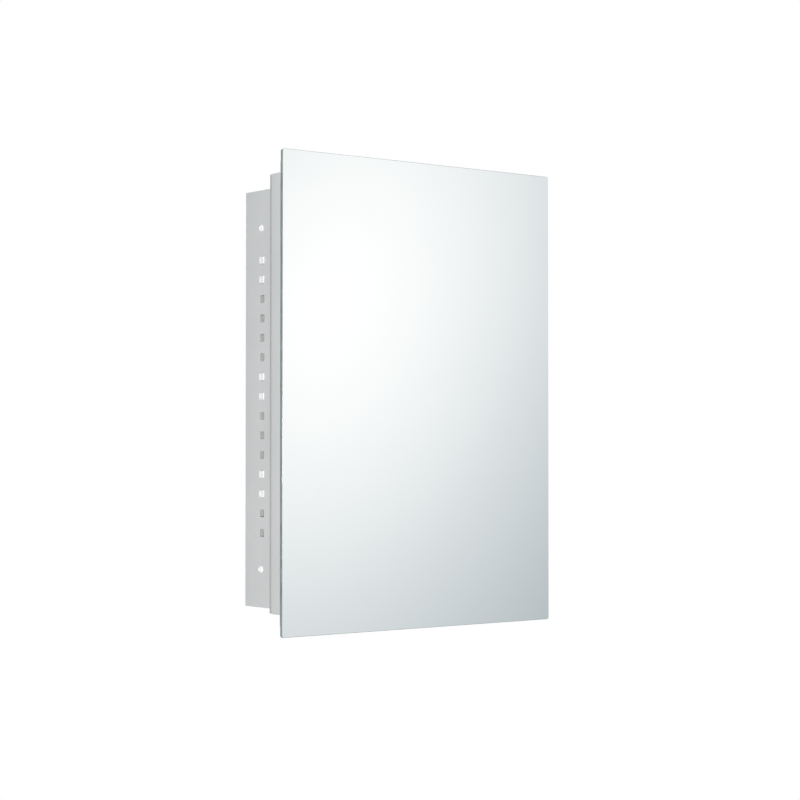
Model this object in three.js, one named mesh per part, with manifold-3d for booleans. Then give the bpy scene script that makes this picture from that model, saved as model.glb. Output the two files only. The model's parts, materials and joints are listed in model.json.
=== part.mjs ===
// A recessed medicine cabinet: a folded steel body that sits in a hole in the wall, a raised front frame
// that covers the edge of the hole, three glass shelves, and a mirror door on a piano hinge.
//
// Millimetres, +Z up, the mirror faces -Y and +X is to the right of someone who looks at it.
// The origin lies in the plane of the wall's face, behind the centre of the mirror, so what has y > 0
// is inside the wall. The hinge is on the left, at -X.
import * as THREE from "three";
import { mergeVertices } from "three/addons/utils/BufferGeometryUtils.js";
import Module from "manifold-3d";

const wasm = await Module();
wasm.setup();

// ---------------------------------------------------------------- driving dimensions

const GAP = 0.3; // between pieces that are fastened or pressed together
const FILM = 0.1; // between flat pieces that are clamped or stuck face to face
const ROUND_STEPS = 16; // sides of a round hole or head
const SMALL_ROUND_STEPS = 12; // sides of a pin, shank or knuckle
const CUT_PAST = 1; // how far a cutting shape reaches past what it cuts
const JOIN_DEPTH = 0.2; // how far joined shapes reach into each other
const ROUND_END = 0.97; // share of a slot's half width that its round ends take up

// Mirror glass and the tape that holds it.
const MIRROR_WIDTH = 406.4;
const MIRROR_HEIGHT = 558.8;
const MIRROR_THICKNESS = 4;
const MIRROR_CORNER_RADIUS = 3;
const MIRROR_ARRIS = 0.5; // small bevel along the polished edge
const TAPE_THICKNESS = 1;
const TAPE_WIDTH = 8;
const TAPE_MARGIN = 2; // from the pan's edge to a side strip's end
const TAPE_SPACE = 1; // between the strips at a corner

// Sheet steel of the body, the front frame and the door pan.
const SHEET = 1;
const BEND_RADIUS = 1.5; // to the middle of the sheet
const BEND_STEPS = 3;

// Door pan, which opens towards the mirror, and the board inside it.
const PAN_INSET = 10; // from the mirror's edge to the pan's side
const PAN_DEPTH = 15.4;
const PAN_LIP = 12;
const PAN_EDGE_RADIUS = 1;
const PAN_CORNER_RADIUS = 1.5;
const FILLER_POCKET_RADIUS = 5; // round a rivet's tail
const FILLER_POCKET_DEPTH = 6;

// Front frame: a channel round the body. The body sits low in it, so its steps differ.
const FRAME_DEPTH = 27.4;
const FRAME_INSET_SIDE = 18; // from the mirror's edge to the frame's side
const FRAME_INSET_END = 22.8; // from the mirror's top or bottom edge to the frame's
const STEP_SIDE = 10; // from the frame's side in to the body's
const STEP_TOP = 15;
const STEP_BOTTOM = 5;
const FRAME_TAB = 10; // the leg that lies along the body
const GASKET_THICKNESS = 3; // of the foam between the frame and the wall
const GASKET_MARGIN = 0.5; // from the frame's side in to the foam
const GASKET_BODY_SPACE = 1; // from the foam to the body

// Body.
const RECESS_DEPTH = 66.8;
const BACK_FLANGE = 11;
const END_TAB = 12; // where the top and bottom panels turn along the sides
const END_TAB_MARGIN = 6;
const EMBOSS_MARGIN = 26; // from the back panel's edge to its raised field
const EMBOSS_DEPTH = 2;
const EMBOSS_CORNER_RADIUS = 14;
const EMBOSS_SLOPE_SHARE = 0.6; // of the sheet, by which the hollow is smaller than the field

// Holes in the side panels.
const SHELF_HOLE_SIZE = 9;
const SHELF_HOLE_CORNER = 1.2;
const SHELF_HOLE_PITCH = 23;
const SHELF_HOLES_FROM_END = 82; // least distance from the body's end to a shelf hole
const SHELF_HOLES_RAISE = 2.5; // of the row's middle above the body's middle
const WALL_HOLE_RADIUS = 4.5;
const WALL_HOLE_FROM_END = 45;
const WALL_HOLE_OFFSET = 1.7; // of the wall screw holes behind the row of shelf holes

// Shelves and their clips. Each clip's two pegs fill two neighbouring holes.
const SHELF_NAMES = ["upper", "middle", "lower"];
const SHELF_PLACES = [0, 0.46, 0.85]; // down the row of holes
const SHELF_THICKNESS = 5;
const SHELF_FRONT = -5;
const SHELF_BACK_CLEARANCE = 1.4; // to the back panel's raised field
const SHELF_ARRIS = 0.6;
const SHELF_CORNER = 1;
const CLIP_LENGTH = 48;
const CLIP_BACK_CLEARANCE = 8.4; // to the back panel's raised field
const CLIP_PLATE = 2;
const CLIP_OVERHANG = 6.5; // of the plate beyond each peg's middle
const CLIP_LEDGE = 14; // reach of the ledge under the shelf
const CLIP_LIP = 8; // reach of the lip over it
const CLIP_TIP = 2;
const CLIP_ROOT = 4.5;
const CLIP_SLOT_CLEARANCE = 0.25;
const CLIP_END_CLEARANCE = 0.4;
const PEG_CLEARANCE = 0.3;
const PEG_PROUD = 1.4; // beyond the outer face of the side panel
const PEG_CHAMFER = 0.8;
const PEG_CORNER = 0.2;

// Piano hinge.
const BARREL_RADIUS = 2.5;
const BORE_RADIUS = 1.35;
const PIN_RADIUS = 1.15;
const PIN_HEAD_RADIUS = 1.9;
const PIN_HEAD = 0.8;
const LEAF = 0.9;
const KNUCKLE_PITCH = 25;
const HINGE_OUT = 1.6; // from the frame's side out to the pin's axis
const HINGE_FROM_END = 4.6; // from the frame's end to the barrel's
const HINGE_FASTENERS = 5;
const HINGE_FASTENER_FROM_END = 26;

// Fasteners.
const SHANK_RADIUS = 1.6;
const SHANK_HOLE_RADIUS = 1.9;
const HEAD_RADIUS = 3.1;
const HEAD_HEIGHT = 1.2;
const SCREW_LENGTH = 8;
const RIVET_LENGTH = 5;

// Magnetic catch, its strike plate and the bumpers.
const CATCH_WIDTH = 12.4;
const CATCH_HEIGHT = 44;
const CATCH_BACK = -6;
const CATCH_WALL = 1.8;
const CATCH_EAR = 12;
const CATCH_EAR_THICKNESS = 3;
const CATCH_EAR_DEPTH = 18;
const CATCH_SLOT_LENGTH = 7;
const CATCH_SCREW_LENGTH = 5.4;
const POLE_THICKNESS = 1.2;
const POLE_PROUD = 1.3; // of the poles beyond the housing
const MAGNET_THICKNESS = 5;
const MAGNET_HEIGHT = 30;
const STRIKE_THICKNESS = 1.2;
const STRIKE_WIDTH = 14;
const STRIKE_HEIGHT = 58;
const STRIKE_RIVET_FROM_END = 5.5;
const STRIKE_CORNER_RADIUS = 2;
const STRIKE_AIR = 0.2; // between the poles and the strike plate
const BUMPER_RADIUS = 4.5;
const BUMPER_FROM_END = 18;
const BUMPER_STEM = 3; // beyond the pan's floor
const BUMPER_STEM_TAPER = 2;
const BUMPER_STEM_TIP_RADIUS = 1.1;

// Plugs in the wall screw holes.
const PLUG_RADIUS = 4.1;
const PLUG_HEAD_RADIUS = 7.5;
const PLUG_HEAD = 1.8;
const PLUG_PROUD = 1.6;
const PLUG_TAPER = 0.8;

// ---------------------------------------------------------------- where everything goes

const frameHalfWidth = MIRROR_WIDTH / 2 - FRAME_INSET_SIDE;
const frameHalfHeight = MIRROR_HEIGHT / 2 - FRAME_INSET_END;
const frameFront = -FRAME_DEPTH;
const frameBack = -GASKET_THICKNESS - FILM;

const bodyHalfWidth = frameHalfWidth - STEP_SIDE;
const bodyTop = frameHalfHeight - STEP_TOP;
const bodyBottom = -frameHalfHeight + STEP_BOTTOM;
const bodyHeight = bodyTop - bodyBottom;
const bodyMiddle = (bodyTop + bodyBottom) / 2;
const bodyFront = frameFront + SHEET + GAP;
const wallInside = bodyHalfWidth - SHEET;
const backPanelBack = RECESS_DEPTH - SHEET - FILM;
const backPanelFront = backPanelBack - SHEET;

const doorBack = frameFront - 2 * (BARREL_RADIUS + FILM);
const panFront = doorBack - PAN_DEPTH;
const mirrorBack = panFront - TAPE_THICKNESS;
const panHalfWidth = MIRROR_WIDTH / 2 - PAN_INSET;
const panHalfHeight = MIRROR_HEIGHT / 2 - PAN_INSET;

const hingeX = -frameHalfWidth - HINGE_OUT;
const hingeY = (frameFront + doorBack) / 2;
const hingeLength = 2 * (frameHalfHeight - HINGE_FROM_END);
const knuckleCount = 2 * Math.round(hingeLength / KNUCKLE_PITCH / 2);
const knucklePitch = hingeLength / knuckleCount;
const leafEnd = -wallInside - GAP;
const lipMiddle = (frameHalfWidth + wallInside) / 2;

const shelfHoleCount = Math.floor((bodyHeight - 2 * SHELF_HOLES_FROM_END) / SHELF_HOLE_PITCH) + 1;
const topShelfHole = bodyMiddle + SHELF_HOLES_RAISE + ((shelfHoleCount - 1) / 2) * SHELF_HOLE_PITCH;
const shelfHoleZ = (index) => topShelfHole - index * SHELF_HOLE_PITCH;
const shelfHoleY = backPanelFront - EMBOSS_DEPTH - CLIP_BACK_CLEARANCE - CLIP_LENGTH / 2;
const wallHoleY = shelfHoleY + WALL_HOLE_OFFSET;
const shelfZ = SHELF_PLACES.map(
  (place) => shelfHoleZ(Math.round(place * (shelfHoleCount - 2))) - SHELF_HOLE_PITCH / 2,
);
const wallHoleZ = [bodyTop - WALL_HOLE_FROM_END, bodyBottom + WALL_HOLE_FROM_END];
const shelfBack = backPanelFront - EMBOSS_DEPTH - SHELF_BACK_CLEARANCE;
const shelfHalfWidth = wallInside - GAP - CLIP_PLATE - CLIP_END_CLEARANCE;

const catchZ = (shelfZ[1] + shelfZ[2]) / 2;
const strikeFace = doorBack + FILM + STRIKE_THICKNESS;
const poleTip = strikeFace + STRIKE_AIR;
const catchFront = poleTip + POLE_PROUD;
const catchMiddle = wallInside - GAP - CATCH_WIDTH / 2;
const catchScrewZ = [1, -1].map((end) => catchZ + end * (CATCH_HEIGHT / 2 + CATCH_EAR / 2));
const catchScrewY = CATCH_BACK - CATCH_EAR_DEPTH / 2;
const strikeRivetZ = [1, -1].map((end) => catchZ + end * (STRIKE_HEIGHT / 2 - STRIKE_RIVET_FROM_END));
const bumperZ = [1, -1].map((end) => end * (frameHalfHeight - BUMPER_FROM_END));

const hingeFastenerZ = Array.from({ length: HINGE_FASTENERS }, (_, index) => {
  const reach = hingeLength / 2 - HINGE_FASTENER_FROM_END;
  return reach - (2 * reach * index) / (HINGE_FASTENERS - 1);
});

// ---------------------------------------------------------------- materials

const steelPaint = new THREE.MeshStandardMaterial({ color: 0xc9cac9, roughness: 0.4, metalness: 0.1 });
const doorPaint = new THREE.MeshStandardMaterial({ color: 0x9b9c9c, roughness: 0.35, metalness: 0.1 });
const silveredGlass = new THREE.MeshStandardMaterial({ color: 0xe4e9e9, roughness: 0.03, metalness: 1 });
const shelfGlass = new THREE.MeshStandardMaterial({ color: 0xcfe5dc, roughness: 0.05, metalness: 0 });
const stainless = new THREE.MeshStandardMaterial({ color: 0xc2c4c4, roughness: 0.3, metalness: 1 });
const zincSteel = new THREE.MeshStandardMaterial({ color: 0xb3b5b4, roughness: 0.35, metalness: 1 });
const whiteNylon = new THREE.MeshStandardMaterial({ color: 0xf4f4f1, roughness: 0.45, metalness: 0 });
const greyRubber = new THREE.MeshStandardMaterial({ color: 0x8f9190, roughness: 0.75, metalness: 0 });
const gasketFoam = new THREE.MeshStandardMaterial({ color: 0x9a9b9a, roughness: 0.9, metalness: 0 });
const foamTape = new THREE.MeshStandardMaterial({ color: 0x3a3b3c, roughness: 0.9, metalness: 0 });
const ferrite = new THREE.MeshStandardMaterial({ color: 0x3b3a39, roughness: 0.7, metalness: 0.2 });
const fillerBoard = new THREE.MeshStandardMaterial({ color: 0xc7a77b, roughness: 0.9, metalness: 0 });

// ---------------------------------------------------------------- shaping helpers

const X = new THREE.Vector3(1, 0, 0);
const Y = new THREE.Vector3(0, 1, 0);
const Z = new THREE.Vector3(0, 0, 1);
const point = (u, v) => new THREE.Vector2(u, v);

/** A closed geometry as a solid that can be joined and cut. */
function solidOf(geometry) {
  const bare = geometry.clone();
  bare.deleteAttribute("normal");
  bare.deleteAttribute("uv");
  const merged = mergeVertices(bare, 1e-4);
  return new wasm.Manifold(
    new wasm.Mesh({
      numProp: 3,
      vertProperties: merged.attributes.position.array,
      triVerts: new Uint32Array(merged.index.array),
    }),
  );
}

/** A solid as a geometry. */
function geometryOf(solid) {
  const mesh = solid.getMesh();
  return new THREE.BufferGeometry()
    .setAttribute("position", new THREE.BufferAttribute(mesh.vertProperties, mesh.numProp))
    .setIndex(new THREE.BufferAttribute(mesh.triVerts, 1));
}

/** The geometries as one. */
function join(first, ...others) {
  return geometryOf(others.reduce((solid, other) => solid.add(solidOf(other)), solidOf(first)));
}

/** A geometry less the tools. */
function cut(geometry, ...tools) {
  return geometryOf(tools.reduce((solid, tool) => solid.subtract(solidOf(tool)), solidOf(geometry)));
}

/** What lies inside both geometries. */
function common(geometry, other) {
  return geometryOf(solidOf(geometry).intersect(solidOf(other)));
}

/** A block between two corners. */
function block([x0, y0, z0], [x1, y1, z1]) {
  return new THREE.BoxGeometry(Math.abs(x1 - x0), Math.abs(y1 - y0), Math.abs(z1 - z0)).translate(
    (x0 + x1) / 2,
    (y0 + y1) / 2,
    (z0 + z1) / 2,
  );
}

/** An outline in u and v, made length thick along u x v, with its middle at 0. */
function prism(outline, length, u, v, options = {}) {
  const shape = outline instanceof THREE.Shape ? outline : new THREE.Shape(outline);
  const bevel = options.bevelThickness ?? 0;
  const depth = length - 2 * bevel;
  const geometry = new THREE.ExtrudeGeometry(shape, { depth, bevelEnabled: false, ...options });
  geometry.translate(0, 0, -depth / 2);
  return geometry.applyMatrix4(new THREE.Matrix4().makeBasis(u, v, u.clone().cross(v)));
}

/** A rectangle with round corners, with its middle at 0. */
function roundedRectangle(width, height, radius, steps = 4) {
  const shape = new THREE.Shape();
  const corners = [
    [1, 1],
    [-1, 1],
    [-1, -1],
    [1, -1],
  ];
  const points = corners.flatMap(([across, up], corner) =>
    Array.from({ length: steps + 1 }, (_, step) => {
      const angle = (Math.PI / 2) * (corner + step / steps);
      return point(
        across * (width / 2 - radius) + radius * Math.cos(angle),
        up * (height / 2 - radius) + radius * Math.sin(angle),
      );
    }),
  );
  return shape.setFromPoints(points);
}

/** The outline of a folded sheet whose middle follows the path, with a round bend at each turn. */
function foldedOutline(path) {
  const stations = [];
  const along = (from, to) => to.clone().sub(from).normalize();
  const leftOf = (direction) => point(-direction.y, direction.x);
  path.forEach((corner, index) => {
    const before = index > 0 ? along(path[index - 1], corner) : null;
    const after = index < path.length - 1 ? along(corner, path[index + 1]) : null;
    if (!before || !after) {
      stations.push({ at: corner, normal: leftOf(before ?? after) });
      return;
    }
    const turn = Math.atan2(before.cross(after), before.dot(after));
    const setback = BEND_RADIUS * Math.tan(Math.abs(turn) / 2);
    const start = corner.clone().addScaledVector(before, -setback);
    const inward = leftOf(before).multiplyScalar(Math.sign(turn));
    const centre = start.clone().addScaledVector(inward, BEND_RADIUS);
    for (let step = 0; step <= BEND_STEPS; step += 1) {
      const swing = (turn * step) / BEND_STEPS;
      const arm = inward.clone().negate().rotateAround(point(0, 0), swing);
      stations.push({
        at: centre.clone().addScaledVector(arm, BEND_RADIUS),
        normal: leftOf(before).rotateAround(point(0, 0), swing),
      });
    }
  });
  const face = (side) =>
    stations.map(({ at, normal }) => at.clone().addScaledVector(normal, (side * SHEET) / 2));
  return [...face(1), ...face(-1).reverse()];
}

/** A round bar along an axis, from one place on it to another. */
function bar(radius, axis, centre, from, to, steps = SMALL_ROUND_STEPS) {
  const geometry = new THREE.CylinderGeometry(radius, radius, Math.abs(to - from), steps);
  geometry.applyQuaternion(new THREE.Quaternion().setFromUnitVectors(Y, axis));
  return geometry.translate(...centre.clone().addScaledVector(axis, (from + to) / 2).toArray());
}

/** A profile of [radius, height] points, from one end of the axis to the other, turned round it. */
function turned(profile, axis, centre, steps = SMALL_ROUND_STEPS) {
  const geometry = new THREE.LatheGeometry(profile.map(([r, h]) => point(r, h)), steps);
  geometry.applyQuaternion(new THREE.Quaternion().setFromUnitVectors(Y, axis));
  return geometryOf(solidOf(geometry.translate(...centre.toArray())));
}

/** A fastener whose head stands on a face at the centre, with its shank running back along -axis. */
function fastener(axis, centre, length) {
  return turned(
    [
      [0, -length],
      [SHANK_RADIUS * 0.6, -length],
      [SHANK_RADIUS, -length + 1],
      [SHANK_RADIUS, FILM],
      [HEAD_RADIUS, FILM],
      [HEAD_RADIUS, FILM + HEAD_HEIGHT * 0.35],
      [HEAD_RADIUS * 0.72, FILM + HEAD_HEIGHT * 0.85],
      [HEAD_RADIUS * 0.3, FILM + HEAD_HEIGHT],
      [0, FILM + HEAD_HEIGHT],
    ],
    axis,
    centre,
  );
}

/** A tool that cuts a shank's hole through everything near the centre. */
function shankHole(axis, centre) {
  return bar(SHANK_HOLE_RADIUS, axis, centre, -SCREW_LENGTH, SCREW_LENGTH);
}

/** A tool that cuts a shank's hole through the pan's floor and misses the pan's lips. */
function panHole(x, z) {
  return shankHole(Y, new THREE.Vector3(x, doorBack - SHEET / 2 + SCREW_LENGTH / 2, z));
}

const cabinet = new THREE.Group();
cabinet.name = "cabinet";
const door = new THREE.Group();
door.name = "door";
cabinet.add(door);

/** Adds a named piece to a group. */
function add(group, name, geometry, material) {
  const mesh = new THREE.Mesh(geometry, material);
  mesh.name = name;
  group.add(mesh);
}

// ---------------------------------------------------------------- body

/** A side panel with its back flange, shelf holes and wall screw holes. side is -1 left, 1 right. */
function sidePanel(side) {
  const middle = bodyHalfWidth - SHEET / 2;
  const outline = foldedOutline([
    point(side * middle, bodyFront),
    point(side * middle, RECESS_DEPTH - SHEET / 2),
    point(side * (bodyHalfWidth - BACK_FLANGE), RECESS_DEPTH - SHEET / 2),
  ]);
  const panel = prism(outline, bodyHeight, X, Y).translate(0, 0, bodyMiddle);
  const shelfHole = roundedRectangle(SHELF_HOLE_SIZE, SHELF_HOLE_SIZE, SHELF_HOLE_CORNER, 2);
  const holes = Array.from({ length: shelfHoleCount }, (_, index) =>
    prism(shelfHole, 4 * SHEET, Y, Z).translate(side * middle, shelfHoleY, shelfHoleZ(index)),
  );
  wallHoleZ.forEach((z) => {
    const centre = new THREE.Vector3(side * middle, wallHoleY, z);
    holes.push(bar(WALL_HOLE_RADIUS, X, centre, -2 * SHEET, 2 * SHEET, ROUND_STEPS));
  });
  if (side > 0) {
    catchScrewZ.forEach((z) => holes.push(shankHole(X, new THREE.Vector3(middle, catchScrewY, z))));
  }
  return cut(panel, ...holes);
}

/** The top or bottom panel, with its back flange and a tab at each end. end is 1 top, -1 bottom. */
function endPanel(end) {
  const outside = end > 0 ? bodyTop : bodyBottom;
  const middle = outside - (end * SHEET) / 2;
  const halfLength = wallInside - GAP;
  const outline = foldedOutline([
    point(bodyFront, middle),
    point(RECESS_DEPTH - SHEET / 2, middle),
    point(RECESS_DEPTH - SHEET / 2, outside - end * BACK_FLANGE),
  ]);
  const notchInside = bodyHalfWidth - BACK_FLANGE - GAP;
  const notches = [-1, 1].map((side) =>
    block(
      [side * notchInside, RECESS_DEPTH - SHEET - BEND_RADIUS, outside + end * CUT_PAST],
      [side * (halfLength + CUT_PAST), RECESS_DEPTH + CUT_PAST, outside - end * (BACK_FLANGE + CUT_PAST)],
    ),
  );
  const panel = cut(prism(outline, 2 * halfLength, Y, Z), ...notches);
  const tabs = [-1, 1].map((side) =>
    block(
      [side * halfLength, GAP + SHEET, middle],
      [side * (halfLength - SHEET), backPanelFront - END_TAB_MARGIN, outside - end * END_TAB],
    ),
  );
  return join(panel, ...tabs);
}

/** The back panel, with a field raised towards the shelves. */
function backPanel() {
  const width = 2 * (wallInside - BEND_RADIUS);
  const height = bodyHeight - 2 * (SHEET + BEND_RADIUS);
  const fieldWidth = width - 2 * EMBOSS_MARGIN;
  const fieldHeight = height - 2 * EMBOSS_MARGIN;
  // A slope of one in one: the field's outline at the front is smaller by its depth all round.
  const field = (grow, front) =>
    prism(
      roundedRectangle(
        fieldWidth - 2 * EMBOSS_DEPTH + 2 * grow,
        fieldHeight - 2 * EMBOSS_DEPTH + 2 * grow,
        EMBOSS_CORNER_RADIUS - EMBOSS_DEPTH + grow,
      ),
      4 * EMBOSS_DEPTH,
      X,
      Z,
      {
        bevelEnabled: true,
        bevelThickness: EMBOSS_DEPTH,
        bevelSize: EMBOSS_DEPTH,
        bevelSegments: 1,
      },
    ).translate(0, front + 2 * EMBOSS_DEPTH, 0);
  const sheet = block([-width / 2, backPanelFront, -height / 2], [width / 2, backPanelBack, height / 2]);
  const slab = block(
    [-width / 2, backPanelFront - EMBOSS_DEPTH - SHEET, -height / 2],
    [width / 2, backPanelBack, height / 2],
  );
  const raised = common(field(0, backPanelFront - EMBOSS_DEPTH), slab);
  const hollow = field(-SHEET * EMBOSS_SLOPE_SHARE, backPanelFront - EMBOSS_DEPTH + SHEET);
  return cut(join(sheet, raised), hollow).translate(0, 0, bodyMiddle);
}

// ---------------------------------------------------------------- front frame

/** The path of a frame rail's section: tab along the body, back, outer web, and front lip. */
function railPath(bodyFace, frameFace, lipEnd, direction) {
  const tab = bodyFace + direction * (GAP + SHEET / 2);
  const web = frameFace - (direction * SHEET) / 2;
  return [
    [tab, frameBack - FRAME_TAB],
    [tab, frameBack - SHEET / 2],
    [web, frameBack - SHEET / 2],
    [web, frameFront + SHEET / 2],
    [lipEnd, frameFront + SHEET / 2],
  ];
}

/** What a rail keeps between its two mitres, seen from the front. */
function mitreBlock(corners) {
  return prism(
    corners.map(([x, z]) => point(x, z)),
    4 * FRAME_DEPTH,
    X,
    Z,
  );
}

/** A side rail of the front frame. side is -1 left, 1 right. */
function sideRail(side) {
  const path = railPath(side * bodyHalfWidth, side * frameHalfWidth, side * wallInside, side);
  const rail = prism(foldedOutline(path.map(([x, y]) => point(x, y))), 2 * frameHalfHeight, X, Y);
  const kept = mitreBlock([
    [side * frameHalfWidth, frameHalfHeight - GAP / 2],
    [side * wallInside, bodyTop - SHEET - GAP / 2],
    [side * wallInside, bodyBottom + SHEET + GAP / 2],
    [side * frameHalfWidth, -frameHalfHeight + GAP / 2],
  ]);
  const mitred = common(rail, kept);
  if (side > 0) return mitred;
  return cut(
    mitred,
    ...hingeFastenerZ.map((z) => shankHole(Y, new THREE.Vector3(-lipMiddle, frameFront, z))),
  );
}

/** The top or bottom rail of the front frame. end is 1 top, -1 bottom. */
function endRail(end) {
  const bodyFace = end > 0 ? bodyTop : bodyBottom;
  const path = railPath(bodyFace, end * frameHalfHeight, bodyFace - end * SHEET, end);
  const rail = prism(foldedOutline(path.map(([z, y]) => point(y, z))), 2 * frameHalfWidth, Y, Z);
  const outer = frameHalfWidth - GAP / 2;
  const inner = wallInside - GAP / 2;
  const kept = mitreBlock([
    [-outer, end * frameHalfHeight],
    [outer, end * frameHalfHeight],
    [inner, bodyFace - end * SHEET],
    [-inner, bodyFace - end * SHEET],
  ]);
  return common(rail, kept);
}

/** A strip of foam between the frame's side and the wall. side is -1 left, 1 right. */
function sideGasket(side) {
  const halfHeight = frameHalfHeight - GASKET_MARGIN;
  return block(
    [side * (frameHalfWidth - GASKET_MARGIN), -GASKET_THICKNESS, -halfHeight],
    [side * (bodyHalfWidth + GASKET_BODY_SPACE), 0, halfHeight],
  );
}

/** A strip of foam between the frame's top or bottom and the wall. end is 1 top, -1 bottom. */
function endGasket(end) {
  const halfWidth = bodyHalfWidth + GASKET_BODY_SPACE - GAP;
  const bodyFace = end > 0 ? bodyTop : bodyBottom;
  return block(
    [-halfWidth, -GASKET_THICKNESS, end * (frameHalfHeight - GASKET_MARGIN)],
    [halfWidth, 0, bodyFace + end * GASKET_BODY_SPACE],
  );
}

// ---------------------------------------------------------------- shelves

/** A glass shelf with a small bevel round its faces. */
function shelf(z) {
  const depth = shelfBack - SHELF_FRONT;
  const outline = roundedRectangle(
    2 * (shelfHalfWidth - SHELF_ARRIS),
    depth - 2 * SHELF_ARRIS,
    SHELF_CORNER,
    1,
  );
  return prism(outline, SHELF_THICKNESS, X, Y, {
    bevelEnabled: true,
    bevelThickness: SHELF_ARRIS,
    bevelSize: SHELF_ARRIS,
    bevelSegments: 1,
  }).translate(0, (shelfBack + SHELF_FRONT) / 2, z);
}

/** A shelf clip: a plate with a slot for the shelf's end, and two pegs. side is -1 left, 1 right. */
function shelfClip(side, z) {
  const across = (distance) => side * (wallInside - distance);
  const plateFace = GAP + CLIP_PLATE;
  const half = SHELF_HOLE_PITCH / 2 + CLIP_OVERHANG;
  const slot = SHELF_THICKNESS / 2 + CLIP_SLOT_CLEARANCE;
  const outline = [
    [GAP, -half],
    [plateFace, -half],
    [plateFace, -slot - CLIP_ROOT],
    [CLIP_LEDGE, -slot - CLIP_TIP],
    [CLIP_LEDGE, -slot],
    [plateFace, -slot],
    [plateFace, slot],
    [CLIP_LIP, slot],
    [CLIP_LIP, slot + CLIP_TIP],
    [plateFace, slot + CLIP_ROOT],
    [plateFace, half],
    [GAP, half],
  ].map(([distance, height]) => point(across(distance), height));
  const profile = prism(outline, CLIP_LENGTH, X, Z);
  const width = SHELF_HOLE_SIZE - 2 * PEG_CLEARANCE - 2 * PEG_CHAMFER;
  const reach = SHEET + GAP + PEG_PROUD;
  const pegs = [-1, 1].map((end) =>
    prism(roundedRectangle(width, width, PEG_CORNER, 1), 2 * reach, Y, Z, {
      bevelEnabled: true,
      bevelThickness: PEG_CHAMFER,
      bevelSize: PEG_CHAMFER,
      bevelSegments: 1,
    }).translate(across(GAP), 0, (end * SHELF_HOLE_PITCH) / 2),
  );
  // A peg's inner half would reach past the plate, so only what is outside the plate's face is kept.
  const outside = block(
    [across(plateFace - JOIN_DEPTH), -CLIP_LENGTH, -2 * half],
    [across(-2 * reach), CLIP_LENGTH, 2 * half],
  );
  const kept = pegs.map((peg) => common(peg, outside));
  return join(profile, ...kept).translate(0, shelfHoleY, z);
}

/** A plug in a wall screw hole, with its head inside the cabinet. side is -1 left, 1 right. */
function wallHolePlug(side, z) {
  const head = new THREE.Vector3(side * wallInside, wallHoleY, z);
  const tip = SHEET + PLUG_PROUD;
  return turned(
    [
      [0, -tip],
      [PLUG_RADIUS * 0.7, -tip],
      [PLUG_RADIUS, -tip + PLUG_TAPER],
      [PLUG_RADIUS, FILM],
      [PLUG_HEAD_RADIUS, FILM],
      [PLUG_HEAD_RADIUS, FILM + PLUG_HEAD * 0.4],
      [PLUG_HEAD_RADIUS * 0.8, FILM + PLUG_HEAD * 0.85],
      [PLUG_HEAD_RADIUS * 0.3, FILM + PLUG_HEAD],
      [0, FILM + PLUG_HEAD],
    ],
    X.clone().multiplyScalar(-side),
    head,
    ROUND_STEPS,
  );
}

// ---------------------------------------------------------------- hinge

/** A hinge leaf. side is 1 for the leaf on the frame, -1 for the one on the door. */
function hingeLeaf(side) {
  const face = hingeY + side * BARREL_RADIUS;
  const inside = face - side * LEAF;
  const plateStart = hingeX + BARREL_RADIUS + GAP;
  const plate = block([plateStart, face, -hingeLength / 2], [leafEnd, inside, hingeLength / 2]);
  const ring = new THREE.Shape().absarc(0, 0, BARREL_RADIUS, 0, 2 * Math.PI);
  ring.holes.push(new THREE.Path().absarc(0, 0, BORE_RADIUS, 0, 2 * Math.PI, true));
  const curveSegments = SMALL_ROUND_STEPS / 2; // a full circle takes two steps for each
  const knuckleLength = knucklePitch - GAP;
  const knuckles = [];
  for (let index = side > 0 ? 0 : 1; index < knuckleCount; index += 2) {
    const z = hingeLength / 2 - (index + 0.5) * knucklePitch;
    knuckles.push(prism(ring, knuckleLength, X, Y, { curveSegments }).translate(hingeX, hingeY, z));
    knuckles.push(
      block([hingeX, face, z - knuckleLength / 2], [plateStart + JOIN_DEPTH, inside, z + knuckleLength / 2]),
    );
  }
  const holes = hingeFastenerZ.map((z) => shankHole(Y, new THREE.Vector3(-lipMiddle, face, z)));
  const bore = bar(BORE_RADIUS, Z, new THREE.Vector3(hingeX, hingeY, 0), -hingeLength, hingeLength);
  return cut(join(plate, ...knuckles), bore, ...holes);
}

/** The hinge's pin, peened over at both ends. */
function hingePin() {
  const half = hingeLength / 2 + GAP;
  const head = [
    [0, half + PIN_HEAD],
    [PIN_HEAD_RADIUS * 0.7, half + PIN_HEAD],
    [PIN_HEAD_RADIUS, half + PIN_HEAD * 0.4],
    [PIN_HEAD_RADIUS, half],
    [PIN_RADIUS, half],
  ];
  const foot = head.map(([r, h]) => [r, -h]);
  return turned([...foot, ...head.reverse()], Z, new THREE.Vector3(hingeX, hingeY, 0));
}

// ---------------------------------------------------------------- door

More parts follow.
